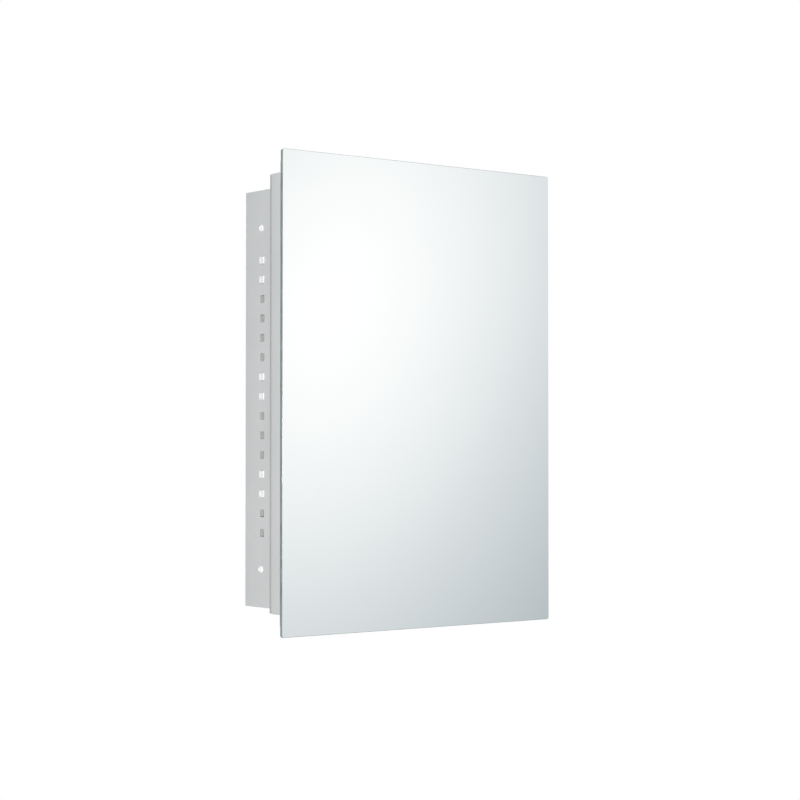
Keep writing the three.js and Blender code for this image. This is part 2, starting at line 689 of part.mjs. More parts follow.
/** The door pan: a tray whose floor faces the shelves and whose lips carry the mirror. */
function doorPan() {
  const inner = (inset, corner = PAN_CORNER_RADIUS) =>
    roundedRectangle(2 * (panHalfWidth - inset), 2 * (panHalfHeight - inset), corner, 2);
  const middle = (panFront + doorBack) / 2;
  const outside = prism(inner(PAN_EDGE_RADIUS), PAN_DEPTH, X, Z, {
    bevelEnabled: true,
    bevelThickness: PAN_EDGE_RADIUS,
    bevelSize: PAN_EDGE_RADIUS,
    bevelSegments: 2,
  }).translate(0, middle, 0);
  const cavity = prism(inner(SHEET), PAN_DEPTH - 2 * SHEET, X, Z).translate(0, middle, 0);
  const mouth = prism(inner(PAN_LIP, GAP), PAN_DEPTH, X, Z).translate(0, middle - 2 * SHEET, 0);
  const holes = [
    ...hingeFastenerZ.map((z) => panHole(-lipMiddle, z)),
    ...strikeRivetZ.map((z) => panHole(catchMiddle, z)),
    ...bumperZ.map((z) => panHole(lipMiddle, z)),
  ];
  return cut(outside, cavity, mouth, ...holes);
}

/** The board that backs the mirror inside the pan, with pockets for the rivets' tails. */
function doorFiller() {
  const halfWidth = panHalfWidth - PAN_LIP - GAP;
  const halfHeight = panHalfHeight - PAN_LIP - GAP;
  const floor = doorBack - SHEET - GAP;
  const board = block([-halfWidth, mirrorBack + GAP, -halfHeight], [halfWidth, floor, halfHeight]);
  const pocket = (x, z) =>
    bar(
      FILLER_POCKET_RADIUS,
      Y,
      new THREE.Vector3(x, floor, z),
      -FILLER_POCKET_DEPTH,
      CUT_PAST,
      ROUND_STEPS,
    );
  return cut(
    board,
    ...hingeFastenerZ.map((z) => pocket(-lipMiddle, z)),
    ...strikeRivetZ.map((z) => pocket(catchMiddle, z)),
    ...bumperZ.map((z) => pocket(lipMiddle, z)),
  );
}

/** The mirror glass, with its polished edge's small bevels. */
function mirrorGlass() {
  const outline = roundedRectangle(
    MIRROR_WIDTH - 2 * MIRROR_ARRIS,
    MIRROR_HEIGHT - 2 * MIRROR_ARRIS,
    MIRROR_CORNER_RADIUS - MIRROR_ARRIS,
  );
  return prism(outline, MIRROR_THICKNESS, X, Z, {
    bevelEnabled: true,
    bevelThickness: MIRROR_ARRIS,
    bevelSize: MIRROR_ARRIS,
    bevelSegments: 1,
  }).translate(0, mirrorBack - MIRROR_THICKNESS / 2, 0);
}

/** A strip of double-sided tape on one of the pan's lips. */
function tapeStrip(halfWidth, halfHeight, x, z) {
  return block(
    [x - halfWidth, mirrorBack + FILM, z - halfHeight],
    [x + halfWidth, panFront - FILM, z + halfHeight],
  );
}

/** The plate that the magnet pulls, with its rivet holes. */
function strikePlate() {
  const middle = strikeFace - STRIKE_THICKNESS / 2;
  const plate = prism(
    roundedRectangle(STRIKE_WIDTH, STRIKE_HEIGHT, STRIKE_CORNER_RADIUS, 2),
    STRIKE_THICKNESS,
    X,
    Z,
  );
  plate.translate(catchMiddle, middle, catchZ);
  return cut(plate, ...strikeRivetZ.map((z) => shankHole(Y, new THREE.Vector3(catchMiddle, middle, z))));
}

/** A rubber bumper: a dome that meets the frame's lip, and a stem through the pan's floor. */
function bumper(z) {
  const height = frameFront - doorBack - GAP;
  const foot = new THREE.Vector3(lipMiddle, doorBack, z);
  return turned(
    [
      [0, -SHEET - BUMPER_STEM],
      [BUMPER_STEM_TIP_RADIUS, -SHEET - BUMPER_STEM],
      [SHANK_RADIUS, -SHEET - BUMPER_STEM + BUMPER_STEM_TAPER],
      [SHANK_RADIUS, FILM],
      [BUMPER_RADIUS, FILM],
      [BUMPER_RADIUS, height * 0.45],
      [BUMPER_RADIUS * 0.86, height * 0.78],
      [BUMPER_RADIUS * 0.5, height],
      [0, height],
    ],
    Y,
    foot,
    ROUND_STEPS,
  );
}

// ---------------------------------------------------------------- magnetic catch

/** The catch's housing: a box open at the front, with a slotted ear at each end. */
function catchHousing() {
  const outside = wallInside - GAP;
  const shell = block(
    [outside - CATCH_WIDTH, catchFront, catchZ - CATCH_HEIGHT / 2],
    [outside, CATCH_BACK, catchZ + CATCH_HEIGHT / 2],
  );
  const pocket = block(
    [outside - CATCH_WIDTH + CATCH_WALL, catchFront - CUT_PAST, catchZ - MAGNET_HEIGHT / 2 - GAP],
    [outside - CATCH_WALL, CATCH_BACK - CATCH_WALL, catchZ + MAGNET_HEIGHT / 2 + GAP],
  );
  const ears = block(
    [outside - CATCH_EAR_THICKNESS, CATCH_BACK - CATCH_EAR_DEPTH, catchZ - CATCH_HEIGHT / 2 - CATCH_EAR],
    [outside, CATCH_BACK, catchZ + CATCH_HEIGHT / 2 + CATCH_EAR],
  );
  const slots = catchScrewZ.map((z) =>
    prism(
      roundedRectangle(CATCH_SLOT_LENGTH, 2 * SHANK_HOLE_RADIUS, SHANK_HOLE_RADIUS * ROUND_END),
      4 * CATCH_EAR_THICKNESS,
      Y,
      Z,
    ).translate(outside, catchScrewY, z),
  );
  return cut(join(shell, ears), pocket, ...slots);
}

/** A slice of the magnet's sandwich: from and to are distances from the catch's middle. */
function catchSlice(from, to, front) {
  return block(
    [catchMiddle + from, front, catchZ - MAGNET_HEIGHT / 2],
    [catchMiddle + to, CATCH_BACK - CATCH_WALL - GAP, catchZ + MAGNET_HEIGHT / 2],
  );
}

// ---------------------------------------------------------------- assembly

const SIDES = [
  ["left", -1],
  ["right", 1],
];
const ENDS = [
  ["top", 1],
  ["bottom", -1],
];

SIDES.forEach(([name, side]) => add(cabinet, `${name}_side_panel`, sidePanel(side), steelPaint));
ENDS.forEach(([name, end]) => add(cabinet, `${name}_panel`, endPanel(end), steelPaint));
add(cabinet, "back_panel", backPanel(), steelPaint);
SIDES.forEach(([name, side]) => add(cabinet, `frame_rail_${name}`, sideRail(side), steelPaint));
ENDS.forEach(([name, end]) => add(cabinet, `frame_rail_${name}`, endRail(end), steelPaint));
SIDES.forEach(([name, side]) => add(cabinet, `wall_gasket_${name}`, sideGasket(side), gasketFoam));
ENDS.forEach(([name, end]) => add(cabinet, `wall_gasket_${name}`, endGasket(end), gasketFoam));

SHELF_NAMES.forEach((name, index) => {
  add(cabinet, `shelf_${name}`, shelf(shelfZ[index]), shelfGlass);
  SIDES.forEach(([sideName, side]) => {
    add(cabinet, `shelf_clip_${name}_${sideName}`, shelfClip(side, shelfZ[index]), whiteNylon);
  });
});

SIDES.forEach(([sideName, side]) => {
  ENDS.forEach(([endName], index) => {
    add(cabinet, `hole_plug_${endName}_${sideName}`, wallHolePlug(side, wallHoleZ[index]), whiteNylon);
  });
});

add(cabinet, "hinge_leaf_frame", hingeLeaf(1), stainless);
add(cabinet, "hinge_pin", hingePin(), stainless);
hingeFastenerZ.forEach((z, index) => {
  const face = new THREE.Vector3(-lipMiddle, hingeY + BARREL_RADIUS - LEAF, z);
  add(cabinet, `hinge_screw_${index + 1}`, fastener(Y.clone().negate(), face, SCREW_LENGTH), stainless);
});

const halfMagnet = MAGNET_THICKNESS / 2;
const poleStart = halfMagnet + FILM;
add(cabinet, "catch_housing", catchHousing(), whiteNylon);
add(cabinet, "catch_magnet", catchSlice(-halfMagnet, halfMagnet, catchFront), ferrite);
SIDES.forEach(([name, side]) => {
  const slice = catchSlice(side * poleStart, side * (poleStart + POLE_THICKNESS), poleTip);
  add(cabinet, `catch_pole_${name}`, slice, zincSteel);
});
catchScrewZ.forEach((z, index) => {
  const face = new THREE.Vector3(wallInside - GAP - CATCH_EAR_THICKNESS, catchScrewY, z);
  const screw = fastener(X.clone().negate(), face, CATCH_SCREW_LENGTH);
  add(cabinet, `catch_screw_${index + 1}`, screw, zincSteel);
});

add(door, "mirror_glass", mirrorGlass(), silveredGlass);
const lipInset = PAN_LIP / 2;
SIDES.forEach(([name, side]) => {
  const strip = tapeStrip(TAPE_WIDTH / 2, panHalfHeight - TAPE_MARGIN, side * (panHalfWidth - lipInset), 0);
  add(door, `mirror_tape_${name}`, strip, foamTape);
});
ENDS.forEach(([name, end]) => {
  const halfLength = panHalfWidth - lipInset - TAPE_WIDTH / 2 - TAPE_SPACE;
  add(
    door,
    `mirror_tape_${name}`,
    tapeStrip(halfLength, TAPE_WIDTH / 2, 0, end * (panHalfHeight - lipInset)),
    foamTape,
  );
});
add(door, "door_pan", doorPan(), doorPaint);
add(door, "door_filler", doorFiller(), fillerBoard);
add(door, "hinge_leaf_door", hingeLeaf(-1), stainless);
hingeFastenerZ.forEach((z, index) => {
  const face = new THREE.Vector3(-lipMiddle, hingeY - BARREL_RADIUS + LEAF, z);
  add(door, `hinge_rivet_${index + 1}`, fastener(Y, face, RIVET_LENGTH), stainless);
});
add(door, "strike_plate", strikePlate(), zincSteel);
strikeRivetZ.forEach((z, index) => {
  const rivet = fastener(Y, new THREE.Vector3(catchMiddle, strikeFace, z), RIVET_LENGTH);
  add(door, `strike_rivet_${index + 1}`, rivet, zincSteel);
});
bumperZ.forEach((z, index) => add(door, `bumper_${ENDS[index][0]}`, bumper(z), greyRubber));

export default cabinet;
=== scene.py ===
"""A recessed medicine cabinet with a frameless mirror door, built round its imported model.

The body is folded sheet steel that sits in a wall, with a raised front frame, three glass shelves
on nylon clips and a magnetic catch. The mirror sits on a steel pan that turns on a piano hinge at
the left.
Everything is in metres: +X to the right of someone at the mirror, +Y into the wall, +Z up.
"""

from __future__ import annotations

import json
import logging
import math
from collections.abc import Callable, Iterable, Mapping, Sequence
from dataclasses import dataclass
from enum import Enum
from functools import cache

import bmesh
import bpy
from mathutils import Matrix, Vector


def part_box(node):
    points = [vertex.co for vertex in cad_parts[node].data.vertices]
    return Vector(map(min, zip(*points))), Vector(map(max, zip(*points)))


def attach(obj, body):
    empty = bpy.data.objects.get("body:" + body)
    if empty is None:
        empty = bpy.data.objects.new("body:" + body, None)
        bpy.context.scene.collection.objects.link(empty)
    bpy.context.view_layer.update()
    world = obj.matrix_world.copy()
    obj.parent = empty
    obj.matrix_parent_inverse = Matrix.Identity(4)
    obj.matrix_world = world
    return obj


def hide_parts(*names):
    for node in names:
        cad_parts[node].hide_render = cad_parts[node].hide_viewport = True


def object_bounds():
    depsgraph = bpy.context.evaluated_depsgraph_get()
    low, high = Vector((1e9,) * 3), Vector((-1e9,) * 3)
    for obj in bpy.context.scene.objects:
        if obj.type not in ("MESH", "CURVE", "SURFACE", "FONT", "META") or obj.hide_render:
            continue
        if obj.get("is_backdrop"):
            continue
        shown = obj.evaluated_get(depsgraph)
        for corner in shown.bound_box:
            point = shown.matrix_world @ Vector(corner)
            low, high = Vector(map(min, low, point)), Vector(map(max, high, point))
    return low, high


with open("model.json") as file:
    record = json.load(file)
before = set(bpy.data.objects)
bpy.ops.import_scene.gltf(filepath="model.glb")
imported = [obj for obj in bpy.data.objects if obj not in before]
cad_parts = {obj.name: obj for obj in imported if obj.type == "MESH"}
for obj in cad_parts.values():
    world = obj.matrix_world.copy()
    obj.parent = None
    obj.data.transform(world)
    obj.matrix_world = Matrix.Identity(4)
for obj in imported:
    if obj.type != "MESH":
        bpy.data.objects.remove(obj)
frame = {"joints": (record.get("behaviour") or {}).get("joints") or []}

LOG = logging.getLogger("cabinet")
MM = 0.001
X_AXIS = Vector((1, 0, 0))
Y_AXIS = Vector((0, 1, 0))
Z_AXIS = Vector((0, 0, 1))
SHARP = math.radians(28)  # edges sharper than this are rounded
FLAT = math.radians(0.5)  # faces flatter than this are one face
WELD = 0.002 * MM  # points nearer than this are one point
CUT = 0.001 * MM  # a plane cuts no edge that ends nearer than this
CLOSE = 0.01 * MM  # how near counts as being on a line or a plane
ROUND_HOLE = 0.97  # the corner that makes a square hole round, as a part of half its width
ALIGNED = 0.999  # how near 1 the cosine is of an edge that runs along an axis
FACING = 0.99  # how near 1 the cosine is of a face that looks along an axis

Color = tuple[float, float, float]


class Body(Enum):
    """The bodies that the pieces ride on."""

    CABINET = "cabinet"
    DOOR = "door"
    SHELF_UPPER = "shelf_upper"
    SHELF_MIDDLE = "shelf_middle"
    SHELF_LOWER = "shelf_lower"


class Slot(Enum):
    """The record's material slots."""

    BODY_PAINT = "body_paint"
    DOOR_PAINT = "door_paint"
    SILVERED_GLASS = "silvered_glass"
    SHELF_GLASS = "shelf_glass"
    STAINLESS = "stainless"
    ZINC = "zinc_steel"
    NYLON = "white_nylon"
    RUBBER = "grey_rubber"
    TAPE = "foam_tape"
    GASKET = "gasket_foam"
    FERRITE = "ferrite"
    BOARD = "filler_board"


class Side(Enum):
    """A side of the cabinet, with the sign of its X."""

    LEFT = -1
    RIGHT = 1

    @property
    def word(self) -> str:
        """The side's name in a node's name."""
        return self.name.lower()


class End(Enum):
    """The top or the bottom of the cabinet, with the sign of its Z."""

    TOP = 1
    BOTTOM = -1

    @property
    def word(self) -> str:
        """The end's name in a node's name."""
        return self.name.lower()


# ------------------------------------------------------------------------------------- shader maths


class Signal:
    """A shader socket that maths can be written with."""

    def __init__(self, graph: Graph, socket: bpy.types.NodeSocket) -> None:
        """Wraps a socket.

        Args:
            graph: the graph that the socket belongs to.
            socket: the output socket.
        """
        self.graph = graph
        self.socket = socket

    def _math(self, operation: str, *values: Signal | float) -> Signal:
        """Adds one Math node on the values."""
        return self.graph.node("ShaderNodeMath", {"operation": operation}, dict(enumerate(values)))

    def __add__(self, other: Signal | float) -> Signal:
        """The sum."""
        return self._math("ADD", self, other)

    __radd__ = __add__

    def __sub__(self, other: Signal | float) -> Signal:
        """The difference."""
        return self._math("SUBTRACT", self, other)

    def __rsub__(self, other: float) -> Signal:
        """A number less this."""
        return self._math("SUBTRACT", other, self)

    def __mul__(self, other: Signal | float) -> Signal:
        """The product."""
        return self._math("MULTIPLY", self, other)

    __rmul__ = __mul__

    def __pow__(self, power: float) -> Signal:
        """This raised to a power."""
        return self._math("POWER", self, power)

    def ramp(self, start: float, end: float, low: float = 0.0, high: float = 1.0) -> Signal:
        """A smooth step from low to high.

        Args:
            start: the value at which the result is low.
            end: the value at which it is high.
            low: the result at the start.
            high: the result at the end.

        Returns:
            The eased value, which stays at low and high outside the step.
        """
        values = {"Value": self, "From Min": start, "From Max": end, "To Min": low, "To Max": high}
        return self.graph.node("ShaderNodeMapRange", {"interpolation_type": "SMOOTHSTEP"}, values)


class Graph:
    """The node graph of a material or a world."""

    def __init__(self, tree: bpy.types.NodeTree) -> None:
        """Empties a tree and wraps it.

        Args:
            tree: the node tree.
        """
        self.tree = tree
        tree.nodes.clear()

    def node(
        self,
        kind: str,
        settings: Mapping[str, object] | None = None,
        values: Mapping[str | int, object] | None = None,
        output: str | int = 0,
    ) -> Signal:
        """Adds a node.

        Args:
            kind: the node's type.
            settings: its properties, which are set first.
            values: numbers, colours, vectors or links for its sockets.
            output: the socket that is wanted from it.

        Returns:
            The wanted output socket.
        """
        made = self.tree.nodes.new(kind)
        for name, value in (settings or {}).items():
            setattr(made, name, value)
        for key, value in (values or {}).items():
            if isinstance(value, Signal):
                self.tree.links.new(value.socket, made.inputs[key])
            else:
                made.inputs[key].default_value = value
        return Signal(self, made.outputs[output] if made.outputs else None)

    def mix(self, factor: Signal | float, first: object, second: object) -> Signal:
        """A colour between two colours.

        Args:
            factor: 0 for the first, 1 for the second.
            first: a colour or a link.
            second: a colour or a link.

        Returns:
            The mixed colour.
        """
        values = {0: factor, 6: rgba(first), 7: rgba(second)}
        return self.node("ShaderNodeMix", {"data_type": "RGBA"}, values, 2)

    def place(self, stretch: Sequence[float] = (1, 1, 1)) -> Signal:
        """The object's own coordinates, in metres, with each axis scaled."""
        coordinates = self.node("ShaderNodeTexCoord", output="Object")
        return self.node("ShaderNodeMapping", {}, {"Vector": coordinates, "Scale": stretch})

    def noise(
        self,
        grain: float,
        detail: float = 2,
        stretch: Sequence[float] = (1, 1, 1),
    ) -> Signal:
        """Cloudy noise from 0 to 1.

        Args:
            grain: the size of its features in metres.
            detail: how many finer layers it has.
            stretch: a scale for each axis. A small number draws the grain out along that axis.

        Returns:
            The noise value.
        """
        values = {"Vector": self.place(stretch), "Scale": 1 / grain, "Detail": detail}
        return self.node("ShaderNodeTexNoise", {}, values)

    def bump(self, height: Signal, depth: float, strength: float = 1.0) -> Signal:
        """A normal that follows a height.

        Args:
            height: the height, from 0 to 1.
            depth: what 1 stands for, in metres.
            strength: how much of it shows.

        Returns:
            The normal.
        """
        values = {"Height": height, "Distance": depth, "Strength": strength}
        return self.node("ShaderNodeBump", {}, values)


def rgba(color: object) -> object:
    """A colour with its alpha, or a link as it is."""
    return color if isinstance(color, Signal) else (*color, 1.0)


def tone(color: Color, factor: float) -> Color:
    """A colour made lighter or darker."""
    return tuple(min(1.0, channel * factor) for channel in color)


# ------------------------------------------------------------------------------------- finishes


@dataclass(frozen=True)
class Finish:
    """A surface finish: constants for the shader, and what varies over the surface."""

    name: str
    color: Color
    roughness: float
    metallic: float = 0.0

    def constants(self) -> dict[str, object]:
        """What is the same all over the surface, by socket."""
        return {}

    def pattern(self, graph: Graph) -> dict[str, Signal]:
        """What varies over the surface, by socket."""
        return {}

    @cache
    def material(self) -> bpy.types.Material:
        """The finish as a material, made once."""
        material = bpy.data.materials.new(self.name)
        material.use_nodes = True
        material.diffuse_color = rgba(self.color)
        graph = Graph(material.node_tree)
        values = {
            "Base Color": rgba(self.color),
            "Roughness": self.roughness,
            "Metallic": self.metallic,
            **self.constants(),
            **self.pattern(graph),
        }
        shader = graph.node("ShaderNodeBsdfPrincipled", {}, values)
        graph.node("ShaderNodeOutputMaterial", {}, {"Surface": shader})
        LOG.info("finish %s", self.name)
        return material


@dataclass(frozen=True)
class Enamel(Finish):
    """Baked enamel on steel: orange peel, faint clouding, dust nibs and rubbed patches."""

    cloud_size: float = 90 * MM
    nib_size: float = 1.1 * MM
    rub_size: float = 28 * MM
    rubbed: float = 0.07
    peel_size: float = 1.6 * MM
    peel_depth: float = 0.05 * MM

    def constants(self) -> dict[str, object]:
        """A thin clear skin over the pigment."""
        return {"Coat Weight": 0.1, "Coat Roughness": 0.2, "Specular IOR Level": 0.35}

    def pattern(self, graph: Graph) -> dict[str, Signal]:
        """Clouding in the colour, rubbed patches in the gloss, and peel and nibs in the normal."""
        cloud = graph.noise(self.cloud_size, 3)
        nibs = graph.noise(self.nib_size, 1).ramp(0.74, 0.8)
        rub = graph.noise(self.rub_size, 6, (1, 1, 0.3)).ramp(0.56, 0.7)
        shade = graph.mix(cloud.ramp(0.3, 0.7), tone(self.color, 0.98), tone(self.color, 1.012))
        color = graph.mix(nibs * 0.35 + rub * 0.12, shade, tone(self.color, 0.86))
        peel = graph.noise(self.peel_size, 1) * 0.8 + nibs * 0.5
        return {
            "Base Color": color,
            "Roughness": self.roughness + cloud * 0.05 + rub * self.rubbed,
            "Normal": graph.bump(peel, self.peel_depth, 0.35),
        }


@dataclass(frozen=True)
class Silvering(Finish):
    """Silver seen through float glass, with the slight draw of the glass and a trace of haze."""

    haze_size: float = 55 * MM
    draw_size: float = 160 * MM
    draw_depth: float = 0.02 * MM

    def pattern(self, graph: Graph) -> dict[str, Signal]:
        """A faint bloom in the gloss and a very slight wave along the draw of the glass."""
        haze = graph.noise(self.haze_size, 5).ramp(0.5, 0.75)
        draw = graph.noise(self.draw_size, 0, (1, 1, 0.25))
        return {
            "Base Color": graph.mix(haze * 0.5, self.color, tone(self.color, 0.985)),
            "Roughness": self.roughness + haze * 0.012,
            "Normal": graph.bump(draw, self.draw_depth, 0.5),
        }


@dataclass(frozen=True)
class GroundGlass(Finish):
    """The polished edge of a sheet of glass: the glass's own green, and the wheel's fine lines."""

    line_size: float = 0.5 * MM
    line_depth: float = 0.02 * MM
    cloud_size: float = 14 * MM

    def constants(self) -> dict[str, object]:
        """The glass's index."""
        return {"IOR": 1.52, "Specular IOR Level": 0.6}

    def pattern(self, graph: Graph) -> dict[str, Signal]:
        """Long wheel lines in the colour, gloss and normal."""
        lines = graph.noise(self.line_size, 2, (0.04, 1, 0.04))
        cloud = graph.noise(self.cloud_size, 3).ramp(0.3, 0.7)
        return {
            "Base Color": graph.mix(cloud, tone(self.color, 0.8), tone(self.color, 1.12)),
            "Roughness": self.roughness + lines * 0.12,
            "Normal": graph.bump(lines, self.line_depth, 0.4),
        }


@dataclass(frozen=True)
class BackingPaint(Finish):
    """The protective paint on a mirror's back, curtain coated and a little uneven."""

    streak_size: float = 6 * MM
    pin_size: float = 0.9 * MM
    depth: float = 0.03 * MM

    def pattern(self, graph: Graph) -> dict[str, Signal]:
        """Curtain streaks and small pinholes."""
        streaks = graph.noise(self.streak_size, 4, (1, 1, 0.06))
        pins = graph.noise(self.pin_size, 1).ramp(0.72, 0.8)
        shade = graph.mix(streaks, tone(self.color, 0.9), tone(self.color, 1.08))
        return {
            "Base Color": graph.mix(pins * 0.4, shade, tone(self.color, 0.6)),
            "Roughness": self.roughness + streaks * 0.1,
            "Normal": graph.bump(streaks + pins * 0.5, self.depth, 0.4),
        }


@dataclass(frozen=True)
class ClearGlass(Finish):
    """The clear faces of a glass shelf, with light smears."""

    smear_size: float = 35 * MM

    def constants(self) -> dict[str, object]:
        """Light goes through."""
        return {"Transmission Weight": 1.0, "IOR": 1.5}

    def pattern(self, graph: Graph) -> dict[str, Signal]:
        """Smears in the gloss."""
        smear = graph.noise(self.smear_size, 5, (0.4, 1, 1)).ramp(0.52, 0.72)
        return {
            "Base Color": graph.mix(smear * 0.3, self.color, tone(self.color, 0.97)),
            "Roughness": self.roughness + smear * 0.03,
        }


@dataclass(frozen=True)
class BrushedSteel(Finish):
    """Stainless steel with a grain along Z, and handling marks."""

    grain_size: float = 0.28 * MM
    grain_depth: float = 0.03 * MM
    mark_size: float = 17 * MM

    def pattern(self, graph: Graph) -> dict[str, Signal]:
        """The grain in the colour, gloss and normal, and soft marks in the gloss."""
        grain = graph.noise(self.grain_size, 3, (1, 1, 0.02))
        marks = graph.noise(self.mark_size, 5).ramp(0.5, 0.7)
        shade = graph.mix(grain, tone(self.color, 0.86), tone(self.color, 1.1))
        return {
            "Base Color": graph.mix(marks * 0.3, shade, tone(self.color, 0.8)),
            "Roughness": self.roughness + grain * 0.16 + marks * 0.08,
            "Normal": graph.bump(grain, self.grain_depth, 0.3),
        }


@dataclass(frozen=True)
class PlatedSteel(Finish):
    """Zinc-plated steel: a pale, slightly blue film with fine spangle and dull spots."""

    spangle_size: float = 1.4 * MM
    spangle_depth: float = 0.02 * MM
    spot_size: float = 6 * MM
    dull: Color = (0.62, 0.6, 0.52)

    def pattern(self, graph: Graph) -> dict[str, Signal]:
        """Spangle in the colour and gloss, with a fine tooth in the normal."""
        spangle = graph.noise(self.spangle_size, 4)
        spots = graph.noise(self.spot_size, 3).ramp(0.52, 0.68)
        film = graph.mix(spangle, tone(self.color, 0.84), tone(self.color, 1.12))
        return {
            "Base Color": graph.mix(spots * 0.4, film, self.dull),
            "Roughness": self.roughness + spangle * 0.12 + spots * 0.15,
            "Normal": graph.bump(spangle, self.spangle_depth, 0.4),
        }


@dataclass(frozen=True)
class Moulding(Finish):
    """Moulded nylon: a fine spark texture, soft flow clouds and a little light inside."""

    flow_size: float = 9 * MM
    tooth_size: float = 0.35 * MM
    tooth_depth: float = 0.03 * MM

    def constants(self) -> dict[str, object]:
        """A short glow under the skin."""
        return {"Subsurface Weight": 0.06, "Subsurface Scale": 0.5 * MM}

    def pattern(self, graph: Graph) -> dict[str, Signal]:
        """Flow clouds in the colour and gloss, and the mould's tooth in the normal."""
        flow = graph.noise(self.flow_size, 3)
        tooth = graph.noise(self.tooth_size, 2)
        return {
            "Base Color": graph.mix(flow, tone(self.color, 0.95), tone(self.color, 1.03)),
            "Roughness": self.roughness + flow * 0.08 + tooth * 0.06,
            "Normal": graph.bump(tooth, self.tooth_depth, 0.35),
        }


@dataclass(frozen=True)
class Granular(Finish):
    """Rubber, foam or sintered ferrite: grains of one size with pores between them."""

    grain: float = 0.6 * MM
    depth: float = 0.08 * MM
    contrast: float = 0.25
    bloom_size: float = 12 * MM

    def pattern(self, graph: Graph) -> dict[str, Signal]:
        """Pores in the colour and the normal, with a dusty bloom over them."""
        pores = graph.noise(self.grain, 3)
        bloom = graph.noise(self.bloom_size, 3).ramp(0.4, 0.7)
        dark, light = tone(self.color, 1 - self.contrast), tone(self.color, 1 + self.contrast)
        shade = graph.mix(pores.ramp(0.35, 0.65), dark, light)
        return {
            "Base Color": graph.mix(bloom * (self.contrast / 2), shade, tone(self.color, 1.4)),
            "Roughness": self.roughness + bloom * 0.08,
            "Normal": graph.bump(pores, self.depth, 0.6),
        }


@dataclass(frozen=True)
class Hardboard(Finish):
    """Pressed fibre board: matted fibres and darker knots."""

    fibre_size: float = 1.2 * MM
    fibre_depth: float = 0.15 * MM
    knot_size: float = 7 * MM

    def pattern(self, graph: Graph) -> dict[str, Signal]:
        """Fibres in two directions in the colour and the normal."""
        upright = graph.noise(self.fibre_size, 4, (1, 1, 0.25))
        level = graph.noise(self.fibre_size, 4, (0.25, 1, 1))
        fibre = upright * 0.5 + level * 0.5
        knots = graph.noise(self.knot_size, 2).ramp(0.6, 0.72)
        shade = graph.mix(fibre.ramp(0.35, 0.65), tone(self.color, 0.72), tone(self.color, 1.2))
        return {
            "Base Color": graph.mix(knots * 0.5, shade, tone(self.color, 0.5)),
            "Roughness": self.roughness + fibre * 0.06,
            "Normal": graph.bump(fibre, self.fibre_depth, 0.6),
        }


BODY_ENAMEL = Enamel("body_enamel", (0.535, 0.52, 0.51), 0.36)
# The door pan's enamel is mid-grey partly as painted shade: its darkness stands in for the shadow
# that the mirror's overhang casts on the pan's narrow side wall.
DOOR_ENAMEL_SHADE_DARKENED = Enamel("door_enamel_shade_darkened", (0.28, 0.28, 0.28), 0.33)
SILVER = Silvering("mirror_silver", (0.965, 0.975, 0.97), 0.004, 1.0)
MIRROR_EDGE = GroundGlass("mirror_edge", (0.19, 0.225, 0.215), 0.14)
MIRROR_BACKING = BackingPaint("mirror_backing", (0.20, 0.21, 0.22), 0.55)
SHELF_FACE = ClearGlass("shelf_face", (0.93, 0.985, 0.965), 0.01)
SHELF_EDGE = GroundGlass("shelf_edge", (0.10, 0.21, 0.175), 0.12)
STAINLESS = BrushedSteel("hinge_stainless", (0.56, 0.57, 0.57), 0.2, 1.0)
ZINC = PlatedSteel("zinc_plate", (0.55, 0.57, 0.60), 0.26, 1.0)
NYLON = Moulding("natural_nylon", (0.74, 0.735, 0.72), 0.42)
BUMPER_RUBBER = Granular("bumper_rubber", (0.20, 0.205, 0.205), 0.72)
FOAM = Granular("tape_foam", (0.035, 0.036, 0.038), 0.9, grain=0.4 * MM, depth=0.12 * MM)
GASKET = Granular(
    "closed_cell_foam",
    (0.34, 0.34, 0.335),
    0.88,
    grain=0.7 * MM,
    depth=0.12 * MM,
    contrast=0.08,
)
FERRITE = Granular(
    "sintered_ferrite",
    (0.05, 0.048, 0.046),
    0.6,
    grain=0.25 * MM,
    depth=0.04 * MM,
)
BOARD = Hardboard("hardboard", (0.34, 0.21, 0.11), 0.82)


# ------------------------------------------------------------------------------------- modelling


